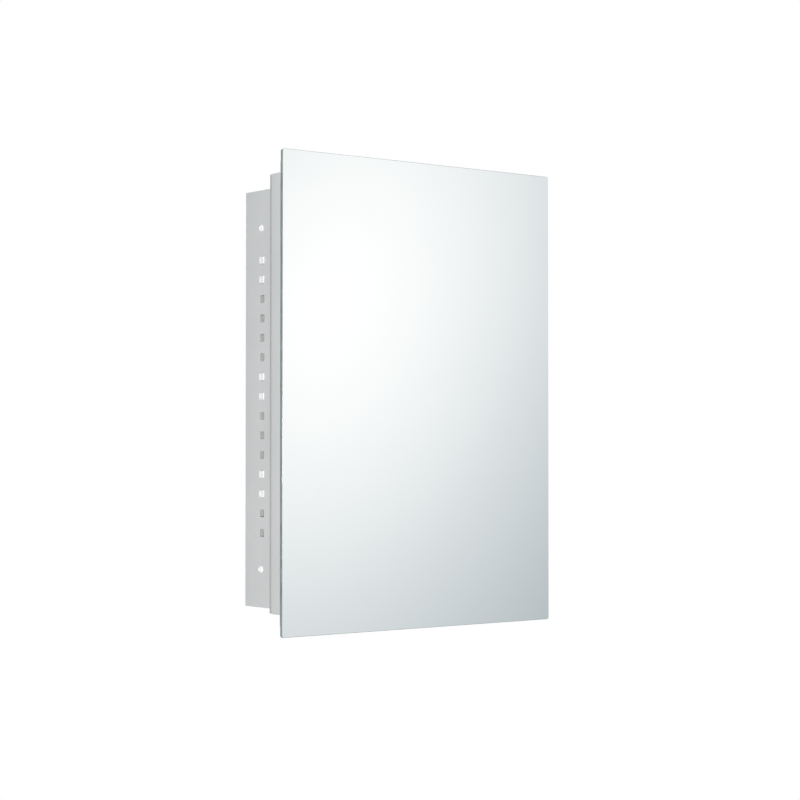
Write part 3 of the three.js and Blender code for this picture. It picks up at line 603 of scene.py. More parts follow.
class Shape:
    """A mesh under construction."""

    hole_margin: float = 0.35
    corner_margin: float = 0.8

    def __init__(self) -> None:
        """Starts empty."""
        self.bm = bmesh.new()

    def block(self, low: Vector, high: Vector) -> Shape:
        """Adds a block.

        Args:
            low: its lowest corner.
            high: its highest corner.

        Returns:
            The shape itself.
        """
        size = Matrix.Diagonal((*(high - low), 1))
        bmesh.ops.create_cube(self.bm, size=1, matrix=Matrix.Translation((low + high) / 2) @ size)
        return self

    def sweep(self, path: Sequence[Vector], run: Vector) -> Shape:
        """Adds the sheet that a line leaves when it is drawn along a straight run.

        Args:
            path: the line's corners.
            run: the way and the distance it is drawn.

        Returns:
            The shape itself.
        """
        corners = [self.bm.verts.new(point) for point in path]
        self.draw_edges([self.bm.edges.new(pair) for pair in zip(corners, corners[1:])], run)
        return self

    def draw_edges(
        self,
        edges: Sequence[bmesh.types.BMEdge],
        by: Vector,
    ) -> list[bmesh.types.BMEdge]:
        """Draws edges out into faces.

        Args:
            edges: the edges.
            by: the way and the distance.

        Returns:
            The edges at their new place.
        """
        drawn = bmesh.ops.extrude_edge_only(self.bm, edges=edges)["geom"]
        verts = [item for item in drawn if isinstance(item, bmesh.types.BMVert)]
        self.shift(verts, by)
        lines = (item for item in drawn if isinstance(item, bmesh.types.BMEdge))
        return [line for line in lines if all(vert in verts for vert in line.verts)]

    def prism(self, outline: Sequence[Vector], run: Vector) -> Shape:
        """Adds a solid with a flat outline.

        Args:
            outline: the corners of one end.
            run: the way and the distance to the other end.

        Returns:
            The shape itself.
        """
        face = self.bm.faces.new([self.bm.verts.new(point) for point in outline])
        drawn = bmesh.ops.extrude_face_region(self.bm, geom=[face], use_keep_orig=True)["geom"]
        self.shift((item for item in drawn if isinstance(item, bmesh.types.BMVert)), run)
        self.face_out()
        return self

    def lathe(
        self,
        profile: Sequence[tuple[float, float]],
        centre: Vector,
        axis: Vector,
        steps: int = 32,
    ) -> Shape:
        """Adds a profile turned round an axis.

        Args:
            profile: points of (radius, height along the axis).
            centre: where the height is 0.
            axis: the axis, as a unit vector.
            steps: how many steps a turn takes.

        Returns:
            The shape itself.
        """
        out = axis.orthogonal().normalized()
        points = [
            self.bm.verts.new(centre + out * radius + axis * height) for radius, height in profile
        ]
        line = [self.bm.edges.new(pair) for pair in zip(points, points[1:])]
        bmesh.ops.spin(
            self.bm,
            geom=points + line,
            cent=centre,
            axis=axis,
            angle=math.tau,
            steps=steps,
            use_merge=True,
        )
        bmesh.ops.remove_doubles(self.bm, verts=self.bm.verts, dist=WELD)
        self.face_out()
        return self

    def shift(self, verts: Iterable[bmesh.types.BMVert], by: Vector) -> None:
        """Moves vertices by a vector."""
        bmesh.ops.translate(self.bm, verts=list(verts), vec=by)

    def face_out(self) -> None:
        """Turns the faces to the outside."""
        bmesh.ops.recalc_face_normals(self.bm, faces=self.bm.faces)

    def cut(self, point: Vector, normal: Vector, trim: bool = False) -> Shape:
        """Cuts the mesh along a plane.

        Args:
            point: a point on the plane.
            normal: the plane's normal.
            trim: whether what lies on the normal's side is taken away.

        Returns:
            The shape itself.
        """
        bmesh.ops.bisect_plane(
            self.bm,
            geom=[*self.bm.verts, *self.bm.edges, *self.bm.faces],
            dist=CUT,
            plane_co=point,
            plane_no=normal,
            clear_outer=trim,
        )
        return self

    def window(self, centre: Vector, across: Vector, up: Vector) -> bmesh.types.BMFace:
        """Cuts the outline of a rectangle into the faces round its middle.

        Args:
            centre: the rectangle's middle.
            across: from its middle to one side.
            up: from its middle to its top.

        Returns:
            The face that the rectangle bounds.
        """
        for reach in (across, up):
            self.cut(centre + reach, reach)
            self.cut(centre - reach, reach)
        return self.nearest(centre)

    def nearest(self, point: Vector) -> bmesh.types.BMFace:
        """The face whose middle is nearest a point."""
        return min(self.bm.faces, key=lambda face: (face.calc_center_median() - point).length)

    def punch(
        self,
        centre: Vector,
        across: Vector,
        up: Vector,
        corner: float,
        steps: int = 4,
    ) -> Shape:
        """Punches a hole with round corners through a flat sheet.

        Args:
            centre: the hole's middle.
            across: from its middle to one side.
            up: from its middle to its top.
            corner: the radius of its corners. Half its width makes it round.
            steps: how many steps a corner takes.

        Returns:
            The shape itself.
        """
        margin = max(self.hole_margin * across.length, self.corner_margin * corner)
        grow = 1 + margin / across.length
        cell = self.window(centre, across * grow, up * grow)
        bmesh.ops.inset_region(self.bm, faces=[cell], thickness=margin, use_even_offset=True)
        self.round_corners(self.nearest(centre), corner, steps)
        bmesh.ops.delete(self.bm, geom=[self.nearest(centre)], context="FACES")
        return self

    def round_corners(self, face: bmesh.types.BMFace, radius: float, steps: int) -> None:
        """Rounds the corners of a face that lies in a flat sheet.

        Args:
            face: the face.
            radius: the radius of its corners.
            steps: how many steps a corner takes.
        """
        bmesh.ops.bevel(
            self.bm,
            geom=list(face.verts),
            offset=radius,
            offset_type="OFFSET",
            affect="VERTICES",
            segments=steps,
            profile=0.5,
            material=-1,
        )

    def clear_marks(self) -> Shape:
        """Takes away the cutting lines that are left on flat faces, and gives the shape back."""
        bmesh.ops.remove_doubles(self.bm, verts=self.bm.verts, dist=WELD)
        bmesh.ops.dissolve_degenerate(self.bm, edges=self.bm.edges, dist=WELD)
        bmesh.ops.dissolve_limit(
            self.bm, angle_limit=FLAT, verts=self.bm.verts, edges=self.bm.edges
        )
        return self

    def round(
        self,
        width: float,
        steps: int,
        wanted: Callable[[bmesh.types.BMEdge], bool] | None = None,
    ) -> Shape:
        """Rounds the sharp edges.

        Args:
            width: how far from the edge the round starts.
            steps: how many steps it takes.
            wanted: says which of the sharp edges are rounded. All are without it.

        Returns:
            The shape itself.
        """
        edges = [
            edge
            for edge in self.bm.edges
            if len(edge.link_faces) == 2
            and edge.calc_face_angle(0) > SHARP
            and (wanted is None or wanted(edge))
        ]
        bmesh.ops.bevel(
            self.bm,
            geom=edges,
            offset=width,
            offset_type="OFFSET",
            affect="EDGES",
            segments=steps,
            profile=0.5,
            material=-1,
            clamp_overlap=True,
        )
        return self

    def raise_face(self, face: bmesh.types.BMFace, by: Vector) -> bmesh.types.BMFace:
        """Draws a face out of the surface, or into it.

        Args:
            face: the face.
            by: the way and the distance.

        Returns:
            The face at its new place.
        """
        target = face.calc_center_median() + by
        self.draw([face], by)
        return self.nearest(target)

    def draw(self, faces: Sequence[bmesh.types.BMFace], by: Vector) -> None:
        """Draws a patch of faces out of the surface or into it, and leaves no faces in its place.

        Args:
            faces: the patch.
            by: the way and the distance.
        """
        drawn = bmesh.ops.extrude_face_region(self.bm, geom=faces)["geom"]
        self.shift((item for item in drawn if isinstance(item, bmesh.types.BMVert)), by)
        left = [face for face in faces if face.is_valid]
        bmesh.ops.delete(self.bm, geom=left, context="FACES")

    def dish(self, face: bmesh.types.BMFace, margin: float, slope: float, depth: float) -> Shape:
        """Sinks the middle of a face, with sloping sides.

        Args:
            face: the face.
            margin: how much of it stays round the sunk part.
            slope: how wide the sloping sides are.
            depth: how deep the sunk part is.

        Returns:
            The shape itself.
        """
        bmesh.ops.inset_region(self.bm, faces=[face], thickness=margin, use_even_offset=True)
        bmesh.ops.inset_region(self.bm, faces=[face], thickness=slope, depth=-depth)
        return self


def parallel(axis: Vector) -> Callable[[bmesh.types.BMEdge], bool]:
    """A test for edges that run along an axis."""

    def test(edge: bmesh.types.BMEdge) -> bool:
        """Whether the edge runs along the axis."""
        run = (edge.verts[1].co - edge.verts[0].co).normalized()
        return abs(run.dot(axis)) > ALIGNED

    return test


@dataclass
class Piece:
    """What turns a shape into a finished piece of the cabinet."""

    node: str
    body: Body
    slot: Slot
    finishes: Sequence[Finish]
    sheet: float = 0.0
    edge: float = 0.15 * MM
    edge_steps: int = 2
    sort: Callable[[bmesh.types.BMFace], int] | None = None
    flats: bool = False

    def make(self, shape: Shape) -> None:
        """Makes the object, in the place of its node.

        Args:
            shape: the shape, which is used up.
        """
        for face in shape.bm.faces:
            face.smooth = True
            face.material_index = self.sort(face) if self.sort else 0
        mesh = bpy.data.meshes.new(self.node)
        shape.bm.to_mesh(mesh)
        shape.bm.free()
        for finish in self.finishes:
            mesh.materials.append(finish.material())
        piece = bpy.data.objects.new(self.node + "_fine", mesh)
        bpy.context.scene.collection.objects.link(piece)
        if self.sheet:
            wall = piece.modifiers.new("wall", "SOLIDIFY")
            wall.thickness = self.sheet
            wall.offset = 0
            wall.use_even_offset = True
        if self.edge:
            soft = piece.modifiers.new("edges", "BEVEL")
            soft.width = self.edge
            soft.segments = self.edge_steps
            soft.limit_method = "ANGLE"
            soft.angle_limit = SHARP
            soft.harden_normals = True
        if self.flats:
            piece.modifiers.new("flats", "WEIGHTED_NORMAL").weight = 100
        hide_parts(self.node)
        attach(piece, self.body.value)
        LOG.info("piece %s: %d faces", self.node, len(mesh.polygons))


def round_top(radius: float, rise: float, steps: int = 8) -> list[tuple[float, float]]:
    """The profile of a rounded top, for a lathe.

    Args:
        radius: its radius where it starts.
        rise: how far below the top it starts.
        steps: how many steps it takes.

    Returns:
        Points of (radius, height), from the brim to the middle of the top.
    """
    swings = [math.pi / 2 * step / steps for step in range(steps)]
    arc = [(radius * math.cos(swing), rise * (math.sin(swing) - 1)) for swing in swings]
    return [*arc, (0.0, 0.0)]


def place_of(node: str) -> tuple[Vector, Vector]:
    """A node's lowest and highest corners."""
    low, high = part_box(node)
    return Vector(low), Vector(high)


def middle_of(node: str) -> Vector:
    """The middle of a node's box."""
    low, high = place_of(node)
    return (low + high) / 2


def finish_sheet(node: str, shape: Shape, sheet: float) -> None:
    """Finishes one enamelled sheet of the body or the frame."""
    Piece(node, Body.CABINET, Slot.BODY_PAINT, [BODY_ENAMEL], sheet=sheet).make(shape)


# ------------------------------------------------------------------------------------- body


@dataclass
class CabinetBody:
    """The folded body: two sides, a top, a bottom and a back with a raised field."""

    sheet: float = 1.0 * MM
    bend: float = 1.5 * MM
    flange: float = 11 * MM
    fit: float = 0.3 * MM
    tab_bend: float = 1.2 * MM
    tab_drop: float = 12 * MM
    tab_front: float = 1.3 * MM
    tab_back: float = 6 * MM
    field_margin: float = 26 * MM
    field_height: float = 2 * MM
    field_corner: float = 14 * MM
    field_bend: float = 1.2 * MM
    hole_half: float = 4.5 * MM
    hole_corner: float = 1.2 * MM
    wall_hole_radius: float = 4.5 * MM
    hole_count: int = 15
    hole_pitch: float = 23 * MM

    def fold(self, shape: Shape, along: Vector) -> Shape:
        """Rounds the folds that run along an axis."""
        return shape.round(self.bend, 6, parallel(along))

    def build(self) -> None:
        """Builds the five sheets."""
        for side in Side:
            self.side_panel(side)
        for end in End:
            self.end_panel(end)
        self.back_panel()

    def side_panel(self, side: Side) -> None:
        """Builds a side with its back flange and its holes."""
        node = f"{side.word}_side_panel"
        low, high = place_of(node)
        outside, tip = (low.x, high.x) if side is Side.LEFT else (high.x, low.x)
        middle = outside - side.value * self.sheet / 2
        back = high.y - self.sheet / 2
        path = [
            Vector((middle, low.y, low.z)),
            Vector((middle, back, low.z)),
            Vector((tip, back, low.z)),
        ]
        shape = self.fold(Shape().sweep(path, Z_AXIS * (high.z - low.z)), Z_AXIS)
        row = middle_of(f"shelf_clip_upper_{side.word}")
        top = row.z + self.hole_pitch / 2
        half = self.hole_half
        for index in range(self.hole_count):
            centre = Vector((middle, row.y, top - index * self.hole_pitch))
            shape.punch(centre, Y_AXIS * half, Z_AXIS * half, self.hole_corner)
        radius = self.wall_hole_radius
        for end in End:
            plug = middle_of(f"hole_plug_{end.word}_{side.word}")
            centre = Vector((middle, plug.y, plug.z))
            shape.punch(centre, Y_AXIS * radius, Z_AXIS * radius, ROUND_HOLE * radius, 8)
        finish_sheet(node, shape.clear_marks(), self.sheet)

    def end_panel(self, end: End) -> None:
        """Builds the top or the bottom, with its back flange and a tab along each side."""
        node = f"{end.word}_panel"
        low, high = place_of(node)
        outside = high.z if end is End.TOP else low.z
        middle = outside - end.value * self.sheet / 2
        back = high.y - self.sheet / 2
        edge = high.x - self.sheet / 2
        path = [
            Vector((-edge, low.y, middle)),
            Vector((-edge, back, middle)),
            Vector((-edge, back, outside - end.value * self.flange)),
        ]
        shape = self.fold(Shape().sweep(path, X_AXIS * 2 * edge), X_AXIS)
        relief = back - 2 * self.bend
        notch = abs(place_of("left_side_panel")[1].x + self.fit)
        for side in Side:
            shape.cut(X_AXIS * side.value * notch, X_AXIS)
        shape.cut(Y_AXIS * relief, Y_AXIS)
        waste = [
            face
            for face in shape.bm.faces
            if abs(face.calc_center_median().x) > notch and face.calc_center_median().y > relief
        ]
        bmesh.ops.delete(shape.bm, geom=waste, context="FACES")
        start = self.tab_front
        stop = place_of("back_panel")[0].y + self.field_height - self.tab_back
        shape.cut(Y_AXIS * start, Y_AXIS)
        shape.cut(Y_AXIS * stop, Y_AXIS)
        ends = [
            rim
            for rim in shape.bm.edges
            if all(abs(abs(vert.co.x) - edge) < CLOSE for vert in rim.verts)
            and start < (rim.verts[0].co.y + rim.verts[1].co.y) / 2 < stop
        ]
        shape.draw_edges(ends, Z_AXIS * (outside - end.value * self.tab_drop - middle))
        shape.round(self.tab_bend, 5, parallel(Y_AXIS))
        finish_sheet(node, shape, self.sheet)

    def back_panel(self) -> None:
        """Builds the back, with its field pressed towards the shelves."""
        low, high = place_of("back_panel")
        middle = high.y - self.sheet / 2
        shape = Shape().sweep(
            [Vector((low.x, middle, low.z)), Vector((high.x, middle, low.z))],
            Z_AXIS * (high.z - low.z),
        )
        centre = Vector((0, middle, (low.z + high.z) / 2))
        half = (high - low) / 2
        pressed = shape.window(
            centre,
            X_AXIS * (half.x - self.field_margin),
            Z_AXIS * (half.z - self.field_margin),
        )
        shape.round_corners(pressed, self.field_corner, 8)
        pressed = shape.nearest(centre)
        bmesh.ops.inset_region(
            shape.bm, faces=[pressed], thickness=self.field_height, use_even_offset=True
        )
        shape.shift(shape.nearest(centre).verts, Y_AXIS * -self.field_height)
        shape.round(self.field_bend, 3)
        finish_sheet("back_panel", shape, self.sheet)


# ------------------------------------------------------------------------------------- front frame


@dataclass
class FrontFrame:
    """The raised frame: four folded channels, mitred at the corners, on a strip of foam."""

    sheet: float = 1.0 * MM
    bend: float = 1.5 * MM
    tab: float = 10 * MM
    fit: float = 0.3 * MM
    seam: float = 0.15 * MM
    overrun: float = 1.05

    def build(self) -> None:
        """Builds the four rails and the foam behind them."""
        for side in Side:
            self.rail(f"frame_rail_{side.word}", X_AXIS * side.value, Z_AXIS)
            self.gasket(f"wall_gasket_{side.word}")
        for end in End:
            self.rail(f"frame_rail_{end.word}", Z_AXIS * end.value, X_AXIS)
            self.gasket(f"wall_gasket_{end.word}")

    def gasket(self, node: str) -> None:
        """Builds a strip of foam with soft corners."""
        shape = Shape().block(*place_of(node))
        made = Piece(node, Body.CABINET, Slot.GASKET, [GASKET], edge=0.5 * MM, edge_steps=3)
        made.make(shape)

    def corner(self, out: Vector, along: Vector, sign: int) -> tuple[Vector, Vector]:
        """The outer and inner corners of the frame's face at one end of a rail.

        Args:
            out: the way out of the frame, across the rail.
            along: the rail's own axis.
            sign: which end of the rail, 1 or -1.

        Returns:
            The outer corner and the inner corner.
        """
        sides = {-1: place_of("frame_rail_left"), 1: place_of("frame_rail_right")}
        ends = {-1: place_of("frame_rail_bottom"), 1: place_of("frame_rail_top")}
        towards = out + along * sign
        across, up = (1 if towards.x > 0 else -1), (1 if towards.z > 0 else -1)
        side, end = sides[across], ends[up]
        outer = Vector((side[1 if across > 0 else 0].x, 0, end[1 if up > 0 else 0].z))
        inner = Vector((side[0 if across > 0 else 1].x, 0, end[0 if up > 0 else 1].z))
        return outer, inner

    def rail(self, node: str, out: Vector, along: Vector) -> None:
        """Builds one rail.

        Args:
            node: the node that it replaces.
            out: the way out of the frame, across the rail.
            along: the rail's own axis.
        """
        low, high = place_of(node)
        face = high if out.dot(Vector((1, 1, 1))) > 0 else low
        lip = low if face is high else high
        web = out * (abs(face.dot(out)) - self.sheet / 2)
        body = self.body_face(out)
        leg = out * (body + self.fit + self.sheet / 2)
        start = along * -self.overrun * max(abs(low.dot(along)), abs(high.dot(along)))
        front = Y_AXIS * (low.y + self.sheet / 2)
        back = Y_AXIS * (high.y - self.sheet / 2)
        path = [
            leg - Y_AXIS * self.tab,
            leg + back,
            web + back,
            web + front,
            out * abs(lip.dot(out)) + front,
        ]
        shape = Shape().sweep([point + start for point in path], start * -2)
        shape.round(self.bend, 6, parallel(along))
        for sign in (-1, 1):
            outer, inner = self.corner(out, along, sign)
            mitre = (outer - inner).normalized()
            normal = Vector((-mitre.z, 0, mitre.x))
            if normal.dot(along * sign) < 0:
                normal.negate()
            shape.cut(outer - normal * self.seam, normal, trim=True)
        finish_sheet(node, shape, self.sheet)

    def body_face(self, out: Vector) -> float:
        """How far out the body's outer face stands, on the side that a rail is on."""
        low, high = place_of("left_side_panel")
        if out.x:
            return abs(low.x)
        return high.z if out.z > 0 else -low.z


# ------------------------------------------------------------------------------------- fasteners


@dataclass
class Fastener:
    """A screw or a rivet that stands on its node's place."""

    node: str
    body: Body
    head_axis: Vector
    slot: Slot
    finish: Finish
    head_height: float = 1.2 * MM
    head_radius: float = 3.1 * MM
    brim: float = 0.12 * MM
    under: float = 0.1 * MM
    dome: float = 0.72
    dome_power: float = 0.7
    dome_steps: int = 7
    shank_radius: float = 1.55 * MM
    tip_share: float = 0.55
    tip_length: float = 0.9 * MM
    groove_share: float = 0.78
    plain: float = 0.6 * MM
    recess: float = 0.0
    cross_arm: float = 1.6 * MM
    cross_half: float = 0.4 * MM
    thread: float = 0.0

    def build(self) -> None:
        """Turns the fastener, and presses a cross into its head if it has one."""
        low, high = place_of(self.node)
        axis = self.head_axis
        top = (low + high) / 2 + axis * abs((high - low).dot(axis)) / 2
        length = abs((high - low).dot(axis))
        height, radius = self.head_height, self.head_radius
        shank = self.shank_radius
        start = self.tip_length - length
        profile = [(0.0, -length), (self.tip_share * shank, -length), (shank, start)]
        if self.thread:
            start += self.under
            ridges = int((-height - self.plain - start) / self.thread)
            for ridge in range(ridges):
                foot = start + ridge * self.thread
                profile.append((self.groove_share * shank, foot))
                profile.append((shank, foot + self.thread / 2))
        profile.append((shank, -height))
        profile.append((radius - self.under, -height))
        profile.append((radius, self.brim - height))
        for step in range(1, self.dome_steps + 1):
            swing = math.pi / 2 * step / self.dome_steps
            rise = self.dome * (math.sin(swing) - 1) * height
            profile.append((radius * math.cos(swing) ** self.dome_power, rise))
        profile[-1] = (0.0, 0.0)
        shape = Shape().lathe(profile, top, axis, steps=36)
        if self.recess:
            self.press_cross(shape, top, axis)
        made = Piece(self.node, self.body, self.slot, [self.finish], edge=0.05 * MM)
        made.make(shape)

    def press_cross(self, shape: Shape, top: Vector, axis: Vector) -> None:
        """Presses a cross recess into the head.

        Args:
            shape: the turned fastener.
            top: the middle of the head's top.
            axis: the way out of the head.
        """
        across = axis.orthogonal().normalized()
        up = axis.cross(across)
        arm, half = self.cross_arm, self.cross_half
        for reach in (across, up):
            for distance in (-arm, -half, half, arm):
                shape.cut(top + reach * distance, reach)

        def in_cross(face: bmesh.types.BMFace) -> bool:
            """Whether a face of the head lies in the cross."""
            offset = face.calc_center_median() - top
            if offset.dot(axis) < self.under - self.head_height:
                return False
            wide, tall = abs(offset.dot(across)), abs(offset.dot(up))
            return (wide < half and tall < arm) or (tall < half and wide < arm)

        shape.draw([face for face in shape.bm.faces if in_cross(face)], axis * -self.recess)


def screw(node: str, axis: Vector, slot: Slot, finish: Finish) -> None:
    """Builds a cross-head screw in the cabinet, with its head towards an axis."""
    Fastener(node, Body.CABINET, axis, slot, finish, recess=0.8 * MM, thread=0.9 * MM).build()


def rivet(node: str, slot: Slot, finish: Finish) -> None:
    """Builds a rivet through the door's pan, with its head towards the shelves."""
    Fastener(node, Body.DOOR, Y_AXIS, slot, finish).build()


# ------------------------------------------------------------------------------------- hinge


@dataclass
class PianoHinge:
    """The continuous hinge: two leaves with rolled knuckles, a pin, screws and rivets."""

    leaf: float = 0.9 * MM
    barrel: float = 2.5 * MM
    pitch: float = 25.2 * MM
    between: float = 0.3 * MM
    roll: float = math.radians(318)
    roll_steps: int = 26
    hole_radius: float = 1.9 * MM
    rod: float = 1.15 * MM
    head_foot: float = 0.8 * MM
    head_brim: float = 0.5 * MM
    head_shoulder: float = 0.15 * MM
    shoulder_share: float = 0.8
    crown_share: float = 0.4
    count: int = 5

    @property
    def axis_place(self) -> Vector:
        """A point on the pin's axis."""
        joint = next(item for item in frame["joints"] if item["name"] == "door_hinge")
        return Vector(joint["pos_m"])

    def build(self) -> None:
        """Builds the leaves, the pin and the fasteners."""
        self.rolled_leaf("hinge_leaf_frame", Body.CABINET, 1)
        self.rolled_leaf("hinge_leaf_door", Body.DOOR, -1)
        self.pin()
        for number in range(1, self.count + 1):
            screw(f"hinge_screw_{number}", -Y_AXIS, Slot.STAINLESS, STAINLESS)
            rivet(f"hinge_rivet_{number}", Slot.STAINLESS, STAINLESS)

    def rolled_leaf(self, node: str, body: Body, side: int) -> None:
        """Builds a leaf whose every other tongue is rolled round the pin.

        Args:
            node: the node that it replaces.
            body: the body that it rides on.
            side: 1 for the leaf on the frame, -1 for the leaf on the door.
        """
        low, high = place_of(node)
        axis = self.axis_place
        plane = axis.y + side * (self.barrel - self.leaf / 2)
        root = axis.x + self.barrel + self.between
        path = [Vector((high.x, plane, low.z)), Vector((root, plane, low.z))]
        shape = Shape().sweep(path, Z_AXIS * (high.z - low.z))
        count = round((high.z - low.z) / self.pitch)
        pitch = (high.z - low.z) / count
        gap = self.between / 2
        tongues = [
            (high.z - (index + 1) * pitch + gap, high.z - index * pitch - gap)
            for index in range(0 if side > 0 else 1, count, 2)
        ]
        for bottom, top in tongues:
            shape.cut(Z_AXIS * bottom, Z_AXIS)
            shape.cut(Z_AXIS * top, Z_AXIS)
        rims = [
            edge
            for edge in shape.bm.edges
            if all(abs(vert.co.x - root) < CLOSE for vert in edge.verts)
            and any(
                bottom < (edge.verts[0].co.z + edge.verts[1].co.z) / 2 < top
                for bottom, top in tongues
            )
        ]
        edges = shape.draw_edges(rims, X_AXIS * (axis.x - root))
        verts = dict.fromkeys(vert for edge in edges for vert in edge.verts)
        bmesh.ops.spin(
            shape.bm,
            geom=[*verts, *edges],
            cent=axis,
            axis=Z_AXIS,
            angle=self.roll * side,
            steps=self.roll_steps,
        )
        for number in range(1, self.count + 1):
            centre = middle_of(f"hinge_screw_{number}")
            centre.y = plane
            radius = self.hole_radius
            shape.punch(centre, X_AXIS * radius, Z_AXIS * radius, ROUND_HOLE * radius, 8)
        made = Piece(node, body, Slot.STAINLESS, [STAINLESS], sheet=self.leaf, edge=0.1 * MM)
        made.make(shape.clear_marks())

    def pin(self) -> None:
        """Builds the pin, peened over at both ends."""
        low, high = place_of("hinge_pin")
        centre = (low + high) / 2
        half = (high.z - low.z) / 2
        head = (high.x - low.x) / 2
        foot, brim, shoulder = (
            depth - half for depth in (self.head_foot, self.head_brim, self.head_shoulder)
        )
        cap = [(self.rod, foot), (head, foot), (head, brim)]
        cap += [(self.shoulder_share * head, shoulder), (self.crown_share * head, -half)]
        cap.append((0.0, -half))
        profile = cap[::-1] + [(radius, -height) for radius, height in cap]
        shape = Shape().lathe(profile, centre, Z_AXIS, steps=28)
        Piece("hinge_pin", Body.CABINET, Slot.STAINLESS, [STAINLESS], edge=0.08 * MM).make(shape)


# ------------------------------------------------------------------------------------- door


class MirrorFace(Enum):
    """The mirror's finishes, by material slot."""

    SILVER = 0
    EDGE = 1
    BACKING = 2


@dataclass
class MirrorDoor:
    """The door: a frameless mirror taped to a folded pan with a board inside, and two bumpers."""

    mirror_corner: float = 3 * MM
    arris: float = 0.5 * MM
    sheet: float = 1.0 * MM
    bend: float = 1.5 * MM
    lip: float = 12 * MM
    bumper_dome: float = 4.8 * MM
    bumper_brow: float = 0.55
    barb_length: float = 1.4 * MM
    barb_step: float = 0.2 * MM
    barb_tip: float = 1.0 * MM
    barb: float = 1.9 * MM
    neck: float = 1.5 * MM

    def build(self) -> None:
        """Builds the mirror, its tapes, the pan, the board and the bumpers."""
        self.mirror()
        for word in ("left", "right", "top", "bottom"):
            self.tape(f"mirror_tape_{word}")
        self.pan()
        self.board()
        for end in End:
            self.bumper(f"bumper_{end.word}")

    def mirror(self) -> None:
        """Builds the glass, with round corners and a ground arris along both faces."""
        shape = Shape().block(*place_of("mirror_glass"))
        shape.round(self.mirror_corner, 8, parallel(Y_AXIS))
        shape.round(self.arris, 2, lambda edge: not parallel(Y_AXIS)(edge))

        def sort(face: bmesh.types.BMFace) -> int:
            """The finish of a face of the glass."""
            if face.normal.y < -FACING:
                return MirrorFace.SILVER.value
            return MirrorFace.BACKING.value if face.normal.y > FACING else MirrorFace.EDGE.value

        finishes = [SILVER, MIRROR_EDGE, MIRROR_BACKING]
        glass = Slot.SILVERED_GLASS
        made = Piece("mirror_glass", Body.DOOR, glass, finishes, edge=0, sort=sort, flats=True)
        made.make(shape)

    def tape(self, node: str) -> None:
        """Builds a strip of tape with softly rounded edges."""
        shape = Shape().block(*place_of(node))
        Piece(node, Body.DOOR, Slot.TAPE, [FOAM], edge=0.25 * MM).make(shape)

    def pan(self) -> None:
        """Builds the tray: a floor towards the shelves, four walls and a lip under the mirror."""
        low, high = place_of("door_pan")
        inset = Vector((1, 1, 1)) * self.sheet / 2
        shape = Shape().block(low + inset, high - inset)
        front = Vector((0, low.y, 0))
        mouth = shape.nearest(front)
        bmesh.ops.inset_region(
            shape.bm, faces=[mouth], thickness=self.lip - self.sheet / 2, use_even_offset=True
        )
        bmesh.ops.delete(shape.bm, geom=[shape.nearest(front)], context="FACES")
        shape.round(self.bend, 5)
        # The pan's mid-grey enamel is partly painted shade, for the shadow behind the mirror's
        # overhang.
        made = Piece("door_pan", Body.DOOR, Slot.DOOR_PAINT, [DOOR_ENAMEL_SHADE_DARKENED], sheet=self.sheet)
        made.make(shape)

    def board(self) -> None:
        """Builds the board inside the pan."""
        shape = Shape().block(*place_of("door_filler"))
        Piece("door_filler", Body.DOOR, Slot.BOARD, [BOARD], edge=0.4 * MM).make(shape)

    def bumper(self, node: str) -> None:
        """Builds a rubber bumper: a dome, with a barbed stem through the pan's floor."""
        low, high = place_of(node)
        centre = (low + high) / 2
        centre.y = high.y
        radius, length = (high.x - low.x) / 2, high.y - low.y
        dome, barb_end = self.bumper_dome, self.barb_length - length
        profile = [(0.0, -length), (self.barb_tip, -length), (self.barb, barb_end)]
        profile += [(self.neck, barb_end + self.barb_step), (self.neck, -dome), (radius, -dome)]
        profile += round_top(radius, self.bumper_brow * dome)
        shape = Shape().lathe(profile, centre, Y_AXIS)
        Piece(node, Body.DOOR, Slot.RUBBER, [BUMPER_RUBBER], edge=0.12 * MM).make(shape)


# ------------------------------------------------------------------------------------- shelves


